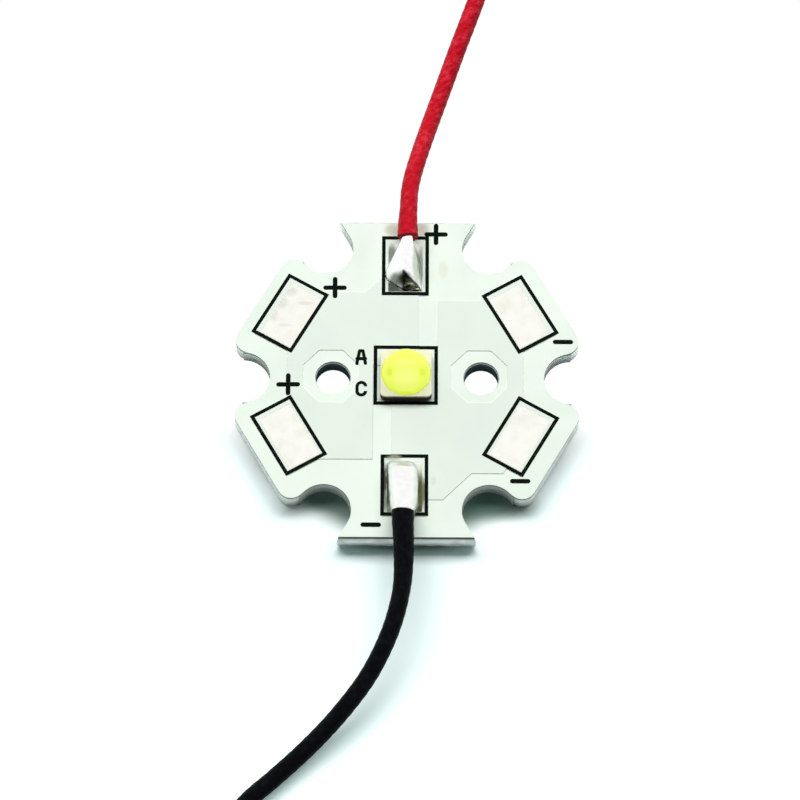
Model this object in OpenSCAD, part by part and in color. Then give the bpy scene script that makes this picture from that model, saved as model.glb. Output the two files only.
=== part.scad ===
// Star-shaped metal core board with one domed power LED, two soldered leads and four spare solder pads.
// Millimetres. The origin is the middle of the plate's underside, +Z is up, +Y runs towards the positive lead.

/* [Metal core plate] */
// Distance between the two scored flats, at the top face
across_flats = 20; // [19:0.1:24]
// Thickness of the aluminium core
core_t = 1; // [0.8:0.1:2]
// Width of each edge notch, which clears an M3 screw
notch_w = 3.2; // [2.8:0.1:3.6]
// Distance from the middle to the centre of a notch's round end
notch_at = 9.6; // [9.4:0.1:10.5]
// Radius of the corners of the four routed lobes
corner_r = 0.8; // [0.4:0.1:1]
// Diameter of the two lens pin holes
hole_d = 2; // [1.6:0.1:2.2]
// Distance between the two lens pin holes
hole_spacing = 8.66; // [8.4:0.02:9.2]
// Depth of the score on each face along the front and back flats
score_depth = 0.3; // [0.2:0.05:0.38]
// Half angle of the scoring cutter
score_angle = 30; // [20:5:35]

/* [Layers on the plate] */
// Thickness of the dielectric layer
dielectric_t = 0.1; // [0.08:0.01:0.15]
// Thickness of the copper foil
copper_t = 0.07; // [0.035:0.005:0.105]
// Thickness of the white solder mask
mask_t = 0.025; // [0.015:0.005:0.04]
// Width of the mask that covers the sides of the copper
mask_side_w = 0.06; // [0.04:0.01:0.1]
// Thickness of the tin on the pads
tin_t = 0.03; // [0.02:0.005:0.04]
// Thickness of the printed legend
print_t = 0.015; // [0.01:0.005:0.03]
// Gap that the layers keep from the pin holes
hole_relief = 0.05; // [0.02:0.01:0.1]

/* [Copper and pads] */
// Shift of the copper and mask against the cut outline, left to right
circuit_dx = -0.12; // [-0.2:0.01:0.2]
// Shift of the copper and mask against the cut outline, front to back
circuit_dy = 0.11; // [-0.2:0.01:0.2]
// Size of a side pad across the lobe, towards the middle
side_pad_w = 2; // [1.8:0.05:2.1]
// Size of a side pad along the lobe's flat
side_pad_l = 3.6; // [3.2:0.05:3.7]
// Distance from a lobe's flat to its side pad
side_pad_edge = 1.27; // [1.2:0.01:1.5]
// Size of an end pad across the wire
end_pad_w = 2.03; // [1.8:0.01:2.1]
// Size of an end pad along the wire
end_pad_l = 3.1; // [2.8:0.05:3.3]
// Distance from a scored flat to its end pad
end_pad_edge = 1.45; // [1.4:0.05:1.6]
// Width of the masked copper border round each pad
pad_border = 0.2; // [0.1:0.02:0.24]
// Distance from the middle line to the near side of the strip that parts the two copper fields
strip_near = 0.74; // [0.6:0.02:0.9]
// Width of the strip that parts the two copper fields
strip_w = 1.18; // [1:0.02:1.3]
// Width of the octagon that the copper leaves free round a pin hole
octagon_w = 3.44; // [3:0.02:3.6]
// Least width of the copper that runs round the outside of such an octagon
octagon_rim_w = 0.4; // [0.3:0.05:0.6]

/* [Printed legend] */
// Shift of the print against the cut outline, left to right
print_dx = -0.13; // [-0.2:0.01:0.2]
// Shift of the print against the cut outline, front to back
print_dy = 0.24; // [0.1:0.01:0.25]
// Width of the frame lines
line_w = 0.21; // [0.12:0.01:0.22]
// Gap from a pad to the inside of its frame
frame_gap = 0.16; // [0.14:0.01:0.18]
// Distance by which the side frames sit further out than their pads
frame_out = 0.07; // [0:0.01:0.08]
// Gap from the LED to the inside of its frame
led_frame_gap = 0.17; // [0.15:0.01:0.25]
// Length of the arms of a plus sign
plus_l = 1.38; // [1.2:0.02:1.4]
// Length of a minus sign
minus_l = 1.18; // [1:0.02:1.3]
// Stroke width of the signs
sign_w = 0.27; // [0.18:0.01:0.3]
// Height of the letters beside the LED, at the middle of their strokes
letter_h = 0.8; // [0.7:0.02:0.9]

/* [LED] */
// Width of the square ceramic package
led_w = 3; // [2.8:0.05:3.1]
// Corner radius of the package
led_corner_r = 0.28; // [0.1:0.02:0.4]
// Thickness of the ceramic
ceramic_t = 0.45; // [0.35:0.05:0.6]
// Thickness of the lens's flange
flange_t = 0.1; // [0.08:0.01:0.15]
// Distance from the widest circle of the lens's dome to the side of its flange
dome_inset = 0.02; // [0.02:0.01:0.1]
// Depth of that circle under the flange's top
dome_sink = 0.17; // [0:0.01:0.18]
// Thickness of the dome round the rim of the yellow conversion layer
phosphor_inset = 0.11; // [0.1:0.01:0.2]
// Thickness of the yellow conversion layer
phosphor_t = 0.34; // [0.32:0.01:0.4]
// Width of the square chip
chip_w = 1; // [0.8:0.05:1.1]
// Thickness of the chip
chip_t = 0.12; // [0.1:0.01:0.15]
// Width of the protection diode
diode_w = 0.3; // [0.2:0.02:0.34]
// Thickness of a bond wire
bond_d = 0.04; // [0.03:0.005:0.06]
// Reach of a bond wire, from the chip to the ceramic
bond_reach = 0.32; // [0.26:0.01:0.36]
// Width of the two contact pads under the package
contact_w = 0.55; // [0.4:0.01:0.6]
// Width of the thermal pad under the package
thermal_w = 1; // [0.8:0.02:1.1]
// Length of the pads under the package
footprint_l = 2.7; // [2.4:0.05:2.75]
// Gap between the pads under the package
footprint_gap = 0.25; // [0.2:0.01:0.26]
// Thickness of the solder under the package
led_solder_t = 0.05; // [0.03:0.01:0.08]
// Shift of the LED against the copper, left to right
led_dx = 0.06; // [-0.08:0.01:0.08]
// Shift of the LED against the copper, front to back
led_dy = -0.03; // [-0.08:0.01:0.08]

/* [Leads] */
// Outer diameter of the insulated wire
wire_d = 1.05; // [0.9:0.01:1.06]
// Diameter of the tinned strands
strand_d = 0.6; // [0.4:0.02:0.64]
// Length of the strands inside a solder joint
stub_l = 2; // [1.5:0.1:2.1]
// Extra radius of the insulation where the soldering heat has swollen it
swell_r = 0.1; // [0:0.01:0.1]
// Length of the swollen insulation on the positive lead
red_swell_l = 1.8; // [0.5:0.1:3]
// Length of the swollen insulation on the negative lead
black_swell_l = 5; // [0.5:0.1:6]
// Radius of a coil at the middle of its turns
coil_r = 5.45; // [5.45:0.01:5.6]
// Distance between neighbouring turns
turn_pitch = 1.06; // [1.06:0.01:1.1]
// Angle that a coil leaves open where its lead comes in
lead_gap = 56; // [50:1:60]
// Thickness of the tie round a coil
tie_t = 0.15; // [0.1:0.01:0.2]
// Angle of the coil that the tie covers
tie_angle = 22; // [10:1:40]
// Length of the bare tip at a lead's far end
tip_l = 4; // [2:0.1:4]

/* [Hidden] */

// Heights of the layers
z_dielectric = core_t + dielectric_t;
z_mask_low = z_dielectric + mask_t;
z_copper = z_dielectric + copper_t;
z_mask_high = z_copper + mask_t;
z_tin = z_copper + tin_t;
z_ceramic = z_copper + led_solder_t;
z_led_top = z_ceramic + ceramic_t;
z_dome = z_led_top + flange_t;

// Plate
flat_at = across_flats / 2;
score_out = score_depth * tan(score_angle);
notch_r = notch_w / 2;
arc_steps = 12;
corner_steps = 8;
cut_past = 1;

// Pads
side_pad_at = flat_at - side_pad_edge - side_pad_w / 2;
end_pad_at = flat_at - end_pad_edge - end_pad_l / 2;
back_left = 150;
front_left = 210;
front_right = 330;
back_right = 30;
side_x = side_pad_at * cos(back_right);
side_y = side_pad_at * sin(back_right);

// Copper fields: how far their edges pass the side pads' middles, and where they narrow to the end pads
field_past = 0.16;
field_x = max(side_x + field_past, (hole_spacing + octagon_w) / 2 + octagon_rim_w);
field_inset = 1;
contact_at = thermal_w / 2 + footprint_gap;
anode_shoulder = [2.33, 1.48];
anode_neck_x = 1.2;
anode_far_past = 1.33;
cathode_shoulder = [3.85, 2.2];
cathode_neck_x = 2.19;
cathode_far_past = 0.95;

// Frame of the LED, and signs and letters from the middle of the frame or LED that they belong to
led_frame_at = [0.05, -0.05];
plus_back = [1.8, 2.06];
plus_back_left = [2.62, 1.66];
plus_front_left = [-0.06, 3.23];
minus_back_right = [2.5, -1.76];
minus_front_right = [-0.04, -2.81];
minus_front = [-1.93, -2.48];
letter_a_at = [-2.56, 1.09];
letter_c_at = [-2.54, -0.93];
letter_w = 0.5;
letter_line_w = 0.19;
letter_top_w = 0.2;
letter_bar_at = -0.1;

// LED parts
dome_r = led_w / 2 - dome_inset;
phosphor_d = 2 * (dome_r - phosphor_inset);
bond_r = bond_reach / 2;
diode_at = [-0.86, 0.72];
diode_t = chip_t;

// Solder joints, as stations of [distance along Y from the pad's middle, middle X, half width, height,
// fullness of the section]
joint_steps = 16;
positive_joint = [
    [1.72, 0.02, 0.5, 1.14, 2.2],
    [1.3, 0.01, 0.64, 1.2, 1.8],
    [0.8, -0.03, 0.84, 1.22, 1.45],
    [0.3, -0.08, 1.02, 1.2, 1.25],
    [-0.15, -0.13, 1.14, 1.16, 1.15],
    [-0.55, -0.16, 1.12, 1.08, 1.15],
    [-0.9, -0.16, 1.06, 0.7, 1.3],
    [-1.2, -0.14, 0.98, 0.3, 1.6],
    [-1.4, -0.12, 0.88, 0.06, 2]
];
negative_joint = [
    [1.7, -0.22, 0.55, 0.06, 2],
    [1.6, -0.23, 0.78, 0.34, 2],
    [1.35, -0.24, 0.92, 0.72, 2.2],
    [0.9, -0.25, 0.97, 1, 2.4],
    [0.3, -0.25, 0.97, 1.14, 2.5],
    [-0.4, -0.23, 0.93, 1.18, 2.4],
    [-1, -0.21, 0.84, 1.17, 2.3],
    [-1.3, -0.2, 0.72, 1.12, 2.2],
    [-1.42, -0.2, 0.6, 1.06, 2.2]
];

// Routes of the leads, from the solder joint to the coil, with Y counted from the pad's middle
red_route = [
    [0, 1.8, 1.9],
    [0, 2.8, 1.9],
    [0.05, 3.8, 1.9],
    [0.1, 4.8, 1.8],
    [0.3, 6, 1.6],
    [0.7, 7.6, 1.3],
    [1.2, 9.4, 0.9],
    [1.75, 11.2, 0.65],
    [2.35, 13.1, 0.53],
    [3, 15.1, 0.53],
    [3.65, 17, 0.53],
    [4.3, 19, 0.53],
    [4.8, 21, 0.53],
    [5.05, 23, 0.55],
    [5.1, 24.6, 0.62],
    [5.1, 26, 0.675],
    [5.1, 27, 0.675]
];
black_route = [
    [-0.2, -1.5, 1.9],
    [-0.2, -2.5, 1.9],
    [-0.15, -3.6, 1.9],
    [-0.15, -4.8, 1.9],
    [-0.2, -6, 1.9],
    [-0.4, -7.3, 1.9],
    [-0.8, -8.8, 1.85],
    [-1.4, -10.3, 1.7],
    [-2.2, -11.8, 1.5],
    [-3.2, -13.2, 1.3],
    [-4.5, -14.7, 0.95],
    [-6, -16.2, 0.65],
    [-7.5, -17.6, 0.53],
    [-8.9, -18.9, 0.53],
    [-9.9, -20.3, 0.53],
    [-10.4, -22, 0.53],
    [-10.5, -24, 0.55],
    [-10.5, -25.6, 0.62],
    [-10.5, -27, 0.675],
    [-10.5, -28, 0.675]
];
wire_sides = 8;

// Coils: three turns side by side on the floor, and two in the hollows on top of them
wire_r = wire_d / 2;
coil_lead_r = coil_r + turn_pitch;
coil_low_z = tie_t + wire_r;
coil_high_z = coil_low_z + sqrt(pow(turn_pitch, 2) - pow(turn_pitch / 2, 2));
coil_chamfer = 0.3;
coil_fn = 96;
tie_from = 170;
red_lead = moved_along(red_route, end_pad_at);
black_lead = moved_along(black_route, -end_pad_at);
red_end = red_lead[len(red_lead) - 1];
black_end = black_lead[len(black_lead) - 1];
red_coil_at = [red_end.x - coil_lead_r, red_end.y];
black_coil_at = [black_end.x + coil_lead_r, black_end.y];
red_entry = 0;
black_entry = 180;

// Points of an arc about c, from angle a to angle b
function arc(c, r, a, b, steps) = [
    for (i = [0:steps]) c + r * [cos(a + (b - a) * i / steps), sin(a + (b - a) * i / steps)]
];

function turned(points, angle) = [
    for (p = points) [p.x * cos(angle) - p.y * sin(angle), p.x * sin(angle) + p.y * cos(angle)]
];

// A lobe's wall beside the notch at 60 degrees: the point on it that lies at height y and clears it by off
function by_wall(y, off) = [(y - (notch_r + off) / sin(30)) / tan(60), y];

// Half a lobe about +Y, from its notch's innermost point to the middle of its flat
function half_lobe(routed, out) = concat(
    arc(notch_at * [cos(60), sin(60)], notch_r, 240, 150, arc_steps),
    routed
        ? arc(by_wall(flat_at - corner_r, corner_r), corner_r, -30, 90, corner_steps)
        : [by_wall(flat_at + out, 0)]
);

function lobe(routed, out) = let (half = half_lobe(routed, out), n = len(half))
    concat(half, [for (i = [n - 1:-1:1]) [-half[i].x, half[i].y]]);

// The whole star, with its two scored flats moved out
function star(out) = [
    for (i = [0:5]) each turned(lobe(i % 3 != 0, out), i * 60)
];

// The points of a route, moved along Y
function moved_along(route, y) = [for (p = route) p + [0, y, 0]];

// Unit vector, ring of points about a route's point, and solid through a list of rings
function unit(v) = v / norm(v);

function heading(route, i) = unit(route[min(i + 1, len(route) - 1)] - route[max(i - 1, 0)]);

function wire_ring(centre, along, r) = let (side = unit(cross(along, [0, 0, 1])), up = cross(side, along)) [
    for (k = [0:wire_sides - 1]) centre + r * (cos(360 * k / wire_sides) * side + sin(360 * k / wire_sides) * up)
];

function swollen_r(p, start, length) = wire_r + swell_r * max(0, 1 - norm(p - start) / length);

// Section of a solder joint at one station: a superellipse above the pad
function joint_ring(s) = [
    for (k = [0:joint_steps]) let (a = 180 * k / joint_steps, c = cos(a)) [
        s[1] + sign(c) * s[2] * pow(abs(c), 2 / s[4]),
        s[0],
        z_tin + s[3] * pow(sin(a), 2 / s[4])
    ]
];

module through_rings(rings) {
    n = len(rings[0]);
    last = len(rings) - 1;
    polyhedron(
        points = [for (r = rings) each r],
        faces = concat(
            [[for (k = [0:n - 1]) k]],
            [for (i = [0:last - 1], k = [0:n - 1])
                [i * n + k, (i + 1) * n + k, (i + 1) * n + (k + 1) % n, i * n + (k + 1) % n]],
            [[for (k = [n - 1:-1:0]) last * n + k]]
        )
    );
}

module star_outline(out) {
    polygon(star(out));
}

module pin_holes(d, h) {
    for (side = [-1, 1])
        translate([side * hole_spacing / 2, 0, -cut_past])
            cylinder(d = d, h = h + 2 * cut_past, $fn = 64);
}

// What the scoring cutter takes off the front and back flats, above and below
module score_cuts() {
    for (turn = [0, 180], face = [[z_dielectric, 1], [0, -1]])
        rotate([90, 0, 90 + turn])
            translate([0, 0, -flat_at])
                linear_extrude(across_flats)
                    polygon([
                        [flat_at, face[0]],
                        [flat_at + score_out, face[0] - face[1] * score_depth],
                        [flat_at + score_out + cut_past, face[0] - face[1] * score_depth],
                        [flat_at + score_out + cut_past, face[0] + face[1] * cut_past],
                        [flat_at, face[0] + face[1] * cut_past]
                    ]);
}

module base_plate() {
    color("#c3ccca")
        difference() {
            linear_extrude(core_t) star_outline(score_out);
            pin_holes(hole_d, core_t);
            score_cuts();
        }
}

module dielectric_layer() {
    color("#5f6b62")
        difference() {
            translate([0, 0, core_t])
                linear_extrude(dielectric_t) star_outline(score_out);
            pin_holes(hole_d + 2 * hole_relief, z_dielectric);
            score_cuts();
        }
}

module on_circuit() {
    translate([circuit_dx, circuit_dy]) children();
}

// A rectangle on a side lobe: w towards the middle, l along the flat
module side_rectangle(angle, at, w, l) {
    rotate(angle)
        translate([at, 0])
            square([w, l], center = true);
}

module end_rectangle(y, w, l) {
    translate([0, y])
        square([w, l], center = true);
}

// One copper field: it joins an end pad, two side pads and one contact of the LED
module copper_field(shoulder, neck_x, far_past) {
    shoulder_y = side_y + shoulder.y;
    neck_y = shoulder_y + shoulder.x - neck_x;
    polygon([
        [strip_near, neck_y],
        [-neck_x, neck_y],
        [-shoulder.x, shoulder_y],
        [-side_x + field_inset, shoulder_y],
        [-field_x, side_y],
        [-field_x, -side_y],
        [-side_x + field_inset, -side_y - far_past],
        [-strip_near - strip_w, -side_y - far_past],
        [-strip_near - strip_w, contact_at],
        [footprint_l / 2, contact_at],
        [footprint_l / 2, contact_at + contact_w],
        [strip_near, contact_at + contact_w]
    ]);
}

module side_border(angle) {
    side_rectangle(angle, side_pad_at, side_pad_w + 2 * pad_border, side_pad_l + 2 * pad_border);
}

module end_border(y) {
    end_rectangle(y, end_pad_w + 2 * pad_border, end_pad_l + 2 * pad_border);
}

module octagons() {
    for (side = [-1, 1])
        translate([side * hole_spacing / 2, 0])
            rotate(180 / 8)
                circle(r = octagon_w / 2 / cos(180 / 8), $fn = 8);
}

module anode_outline() {
    difference() {
        union() {
            copper_field(anode_shoulder, anode_neck_x, anode_far_past);
            side_border(back_left);
            side_border(front_left);
            end_border(end_pad_at);
        }
        octagons();
    }
}

module cathode_outline() {
    difference() {
        union() {
            rotate(180) copper_field(cathode_shoulder, cathode_neck_x, cathode_far_past);
            side_border(back_right);
            side_border(front_right);
            end_border(-end_pad_at);
        }
        octagons();
    }
}

module thermal_outline() {
    square([footprint_l, thermal_w], center = true);
}

module contact_outline(side) {
    translate([0, side * (contact_at + contact_w / 2)])
        square([footprint_l, contact_w], center = true);
}

module copper_outline() {
    anode_outline();
    cathode_outline();
    thermal_outline();
}

module side_pad_outline(angle) {
    side_rectangle(angle, side_pad_at, side_pad_w, side_pad_l);
}

module end_pad_outline(y) {
    end_rectangle(y, end_pad_w, end_pad_l);
}

// The windows in the mask
module window_outline() {
    for (angle = [back_right, back_left, front_left, front_right])
        side_pad_outline(angle);
    for (y = [-end_pad_at, end_pad_at])
        end_pad_outline(y);
    for (side = [-1, 1])
        contact_outline(side);
    thermal_outline();
}

module foil() {
    color("#b87b4b")
        translate([circuit_dx, circuit_dy, z_dielectric])
            linear_extrude(copper_t) children();
}

module anode_copper() {
    foil() anode_outline();
}

module cathode_copper() {
    foil() cathode_outline();
}

module thermal_copper() {
    foil() thermal_outline();
}

module raised_outline() {
    on_circuit() offset(delta = mask_side_w) copper_outline();
}

// The mask lies low beside the copper, covers the copper's sides and steps up over it
module solder_mask() {
    color("#ecf3ea")
        difference() {
            union() {
                translate([0, 0, z_dielectric])
                    linear_extrude(mask_t)
                        difference() {
                            star_outline(0);
                            on_circuit() copper_outline();
                        }
                translate([0, 0, z_dielectric])
                    linear_extrude(copper_t)
                        difference() {
                            raised_outline();
                            on_circuit() copper_outline();
                        }
                translate([0, 0, z_copper])
                    linear_extrude(mask_t)
                        difference() {
                            raised_outline();
                            on_circuit() window_outline();
                        }
            }
            pin_holes(hole_d + 2 * hole_relief, z_mask_high);
        }
}

// A drawn line with round ends
module stroke(a, b, w) {
    translate(a)
        rotate(atan2(b.y - a.y, b.x - a.x))
            translate([0, -w / 2])
                square([norm(b - a), w]);
    for (p = [a, b])
        translate(p)
            circle(d = w, $fn = 24);
}

module frame_line(w, l) {
    difference() {
        square([w + 2 * line_w, l + 2 * line_w], center = true);
        square([w, l], center = true);
    }
}

module side_frame(angle) {
    rotate(angle)
        translate([side_pad_at + frame_out, 0])
            frame_line(side_pad_w + 2 * frame_gap, side_pad_l + 2 * frame_gap);
}

module sign_bar(length) {
    half = (length - sign_w) / 2;
    stroke([-half, 0], [half, 0], sign_w);
}

module minus_sign() {
    sign_bar(minus_l);
}

module plus_sign() {
    sign_bar(plus_l);
    rotate(90) sign_bar(plus_l);
}

module letter_a() {
    foot = [letter_w / 2, -letter_h / 2];
    head = [letter_top_w / 2, letter_h / 2];
    for (side = [-1, 1])
        stroke([side * foot.x, foot.y], [side * head.x, head.y], letter_line_w);
    stroke([-head.x, head.y], head, letter_line_w);
    stroke([-foot.x, letter_bar_at], [foot.x, letter_bar_at], letter_line_w);
}

module letter_c() {
    bend = letter_w / 2;
    rise = letter_h / 2 - bend;
    for (side = [-1, 1])
        translate([0, side * rise])
            intersection() {
                difference() {
                    circle(r = bend + letter_line_w / 2, $fn = 32);
                    circle(r = bend - letter_line_w / 2, $fn = 32);
                }
                translate([-letter_w, side > 0 ? 0 : -letter_w])
                    square([2 * letter_w, letter_w]);
            }
    stroke([-bend, -rise], [-bend, rise], letter_line_w);
}

module side_sign(angle, from_frame) {
    translate((side_pad_at + frame_out) * [cos(angle), sin(angle)] + from_frame) children();
}

module legend_outline() {
    translate([print_dx, print_dy]) {
        for (angle = [back_right, back_left, front_left, front_right])
            side_frame(angle);
        for (y = [-end_pad_at, end_pad_at])
            translate([0, y])
                frame_line(end_pad_w + 2 * frame_gap, end_pad_l + 2 * frame_gap);
        translate(led_frame_at)
            frame_line(led_w + 2 * led_frame_gap, led_w + 2 * led_frame_gap);
        translate([0, end_pad_at] + plus_back) plus_sign();
        translate([0, -end_pad_at] + minus_front) minus_sign();
        side_sign(back_left, plus_back_left) plus_sign();
        side_sign(front_left, plus_front_left) plus_sign();
        side_sign(back_right, minus_back_right) minus_sign();
        side_sign(front_right, minus_front_right) minus_sign();
        translate(letter_a_at) letter_a();
        translate(letter_c_at) letter_c();
    }
}

// The print lies on the raised mask where there is copper, and on the low mask elsewhere
module printed_legend() {
    color("#141f16") {
        translate([0, 0, z_mask_high])
            linear_extrude(print_t)
                intersection() {
                    legend_outline();
                    raised_outline();
                }
        translate([0, 0, z_mask_low])
            linear_extrude(print_t)
                difference() {
                    legend_outline();
                    raised_outline();
                }
    }
}

module tin_coat() {
    color("#e9e9e4")
        translate([circuit_dx, circuit_dy, z_copper])
            linear_extrude(tin_t) children();
}

module back_pad() {
    tin_coat() end_pad_outline(end_pad_at);
}

module back_left_pad() {
    tin_coat() side_pad_outline(back_left);
}

module front_left_pad() {
    tin_coat() side_pad_outline(front_left);
}

module front_pad() {
    tin_coat() end_pad_outline(-end_pad_at);
}

module front_right_pad() {
    tin_coat() side_pad_outline(front_right);
}

module back_right_pad() {
    tin_coat() side_pad_outline(back_right);
}

module led_solder() {
    color("#b9bcba")
        translate([circuit_dx, circuit_dy, z_copper])
            linear_extrude(led_solder_t) children();
}

module led_anode_solder() {
    led_solder() contact_outline(1);
}

module led_cathode_solder() {
    led_solder() contact_outline(-1);
}

module led_thermal_solder() {
    led_solder() thermal_outline();
}

module on_led(z) {
    translate([circuit_dx + led_dx, circuit_dy + led_dy, z]) children();
}

// A square with round corners, as points of four arcs
function rounded_square(w, r) = [
    for (i = [0:3]) each arc((w / 2 - r) * [cos(45 + i * 90), sin(45 + i * 90)] * sqrt(2), r, i * 90, i * 90 + 90, 6)
];

module led_ceramic() {
    color("#f1ecd2")
        on_led(z_ceramic)
            linear_extrude(ceramic_t)
                polygon(rounded_square(led_w, led_corner_r));
}

module led_chip() {
    color("#d8d34a")
        on_led(z_led_top)
            translate([-chip_w / 2, -chip_w / 2])
                cube([chip_w, chip_w, chip_t]);
}

module protection_diode() {
    color("#8a8a86")
        on_led(z_led_top)
            translate([diode_at.x - diode_w / 2, diode_at.y - diode_w / 2])
                cube([diode_w, diode_w, diode_t]);
}

// A half loop from the chip's edge out to the ceramic, with a straight leg down beside the chip
module bond_wire(side) {
    translate([side * (chip_w / 2 + bond_r - bond_d), 0, chip_t]) {
        rotate([90, 0, 0])
            rotate_extrude(angle = 180, $fn = 48)
                translate([bond_r, 0])
                    circle(d = bond_d, $fn = 16);
        translate([side * bond_r, 0, -chip_t])
            cylinder(d = bond_d, h = chip_t, $fn = 16);
    }
}

module bond_wires() {
    color("#d9a93c")
        on_led(z_led_top)
            for (side = [-1, 1])
                bond_wire(side);
}

module phosphor_layer() {
    color("#f3ee4e")
        difference() {
            on_led(z_led_top)
                cylinder(d = phosphor_d, h = phosphor_t, $fn = 96);
            led_chip();
            protection_diode();
            bond_wires();
        }
}

module led_lens() {
    color("#f0f87a", 0.8)
        difference() {
            union() {
                on_led(z_led_top)
                    linear_extrude(flange_t)
                        polygon(rounded_square(led_w, led_corner_r));
                on_led(z_dome - dome_sink)
                    rotate_extrude($fn = 96)
                        intersection() {
                            circle(r = dome_r, $fn = 96);
                            translate([0, dome_sink]) square(dome_r);
                        }
            }
            on_led(z_led_top)
                cylinder(d = phosphor_d, h = phosphor_t, $fn = 96);
        }
}

// The tinned strands, which run from the end of the insulation back into the solder
module strands(start, back) {
    color("#c9c9c4")
        translate(start)
            rotate([back * 90, 0, 0])
                cylinder(d = strand_d, h = stub_l, $fn = 32);
}

module positive_strands() {
    strands(red_lead[0], 1);
}

module negative_strands() {
    strands(black_lead[0], -1);
}

module solder_joint(stations, pad_y) {
    color("#d5d8d6")
        difference() {
            translate([0, pad_y, 0])
                through_rings([for (s = stations) joint_ring(s)]);
            children();
        }
}

module positive_solder_joint() {
    solder_joint(positive_joint, end_pad_at) positive_strands();
}

module negative_solder_joint() {
    solder_joint(negative_joint, -end_pad_at) negative_strands();
}

module wire(route, swell_l) {
    through_rings([
        for (i = [0:len(route) - 1])
            wire_ring(route[i], heading(route, i), swollen_r(route[i], route[0], swell_l))
    ]);
}

// Outer shape of the wound turns, as radius and height
module coil_section() {
    inner = coil_r - turn_pitch - wire_r;
    outer = coil_lead_r + wire_r;
    step = turn_pitch / 2;
    top = coil_high_z + wire_r;
    polygon([
        [inner + coil_chamfer, tie_t],
        [outer - coil_chamfer, tie_t],
        [outer, tie_t + coil_chamfer],
        [outer, coil_low_z],
        [outer - step, coil_high_z],
        [outer - step - coil_chamfer, top],
        [inner + step + coil_chamfer, top],
        [inner + step, coil_high_z],
        [inner, coil_low_z],
        [inner, tie_t + coil_chamfer]
    ]);
}

module coil(at, entry) {
    translate(at)
        rotate(entry)
            rotate_extrude(angle = 360 - lead_gap, $fn = coil_fn)
                coil_section();
}

module coil_tie(at, entry) {
    color("#f2f2ee")
        translate(at)
            rotate(entry + tie_from)
                rotate_extrude(angle = tie_angle, $fn = coil_fn)
                    difference() {
                        offset(delta = tie_t) coil_section();
                        coil_section();
                    }
}

// The bare end runs straight on from the outer turn of the upper layer
module wire_tip(at, entry) {
    color("#c9c9c4")
        translate(at)
            rotate(entry - lead_gap)
                translate([coil_r + turn_pitch / 2, 0, coil_high_z])
                    rotate([-90, 0, 0])
                        cylinder(d = strand_d, h = tip_l, $fn = 32);
}

module red_wire() {
    color("#d71e2d") wire(red_lead, red_swell_l);
}

module red_coil() {
    color("#d71e2d") coil(red_coil_at, red_entry);
}

module red_coil_tie() {
    coil_tie(red_coil_at, red_entry);
}

module red_wire_tip() {
    wire_tip(red_coil_at, red_entry);
}

module black_wire() {
    color("#15171b") wire(black_lead, black_swell_l);
}

module black_coil() {
    color("#15171b") coil(black_coil_at, black_entry);
}

module black_coil_tie() {
    coil_tie(black_coil_at, black_entry);
}

module black_wire_tip() {
    wire_tip(black_coil_at, black_entry);
}

base_plate();
dielectric_layer();
anode_copper();
cathode_copper();
thermal_copper();
solder_mask();
printed_legend();
back_pad();
back_left_pad();
front_left_pad();
front_pad();
front_right_pad();
back_right_pad();
led_anode_solder();
led_cathode_solder();
led_thermal_solder();
led_ceramic();
led_chip();
protection_diode();
bond_wires();
phosphor_layer();
led_lens();
positive_solder_joint();
negative_solder_joint();
positive_strands();
negative_strands();
red_wire();
red_coil();
red_coil_tie();
red_wire_tip();
black_wire();
black_coil();
black_coil_tie();
black_wire_tip();
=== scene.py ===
"""Looks of a power LED on a star-shaped metal core board with its two soldered leads."""

import logging
import math
from collections.abc import Callable
from dataclasses import dataclass, replace
from enum import Enum

import bmesh
import bpy
from mathutils import Matrix, Vector, noise


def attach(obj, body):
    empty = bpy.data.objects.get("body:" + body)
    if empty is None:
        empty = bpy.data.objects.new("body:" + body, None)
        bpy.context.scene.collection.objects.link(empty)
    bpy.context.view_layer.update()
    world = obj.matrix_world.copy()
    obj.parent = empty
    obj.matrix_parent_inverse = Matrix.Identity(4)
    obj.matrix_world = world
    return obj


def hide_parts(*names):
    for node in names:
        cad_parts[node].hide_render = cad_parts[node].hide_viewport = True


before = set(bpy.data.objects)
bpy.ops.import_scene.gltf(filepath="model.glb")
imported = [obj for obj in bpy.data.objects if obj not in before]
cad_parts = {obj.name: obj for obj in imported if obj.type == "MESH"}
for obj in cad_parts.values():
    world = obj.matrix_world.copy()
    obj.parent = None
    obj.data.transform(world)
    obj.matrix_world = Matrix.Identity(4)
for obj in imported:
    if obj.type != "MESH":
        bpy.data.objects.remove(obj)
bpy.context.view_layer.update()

MM = 0.001
LOG = logging.getLogger("star_led")

Material = bpy.types.Material
Piece = bpy.types.Object
Socket = bpy.types.NodeSocket
Tree = bpy.types.NodeTree
Pair = tuple[float, float]
Triple = tuple[float, float, float]

# Width of the waves in a patch's outline in millimetres, and where a patch fades out and is full.
STRAY_SIZE = 0.5
PATCH_EDGE = (1.1, 0.35)
# Vertices closer than this, in millimetres, are one, and faces that turn less than this are one.
JOIN_REACH = 0.0005
FLAT_DEGREES = 0.4
# Slack for comparing two heights, in metres.
SLACK = 1e-7


def linear(code: str) -> tuple[float, float, float, float]:
    """Turn an sRGB hex colour into linear RGBA.

    Args:
        code: Colour as #RRGGBB.

    Returns:
        Red, green, blue and alpha for a shader socket.
    """
    shares = [int(code[i:i + 2], 16) / 255 for i in (1, 3, 5)]
    red, green, blue = (s / 12.92 if s <= 0.04045 else ((s + 0.055) / 1.055) ** 2.4 for s in shares)
    return red, green, blue, 1.0


def per_mm(size: float) -> float:
    """Texture scale at which one cell of a pattern is this many millimetres wide."""
    return 1 / (size * MM)


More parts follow.
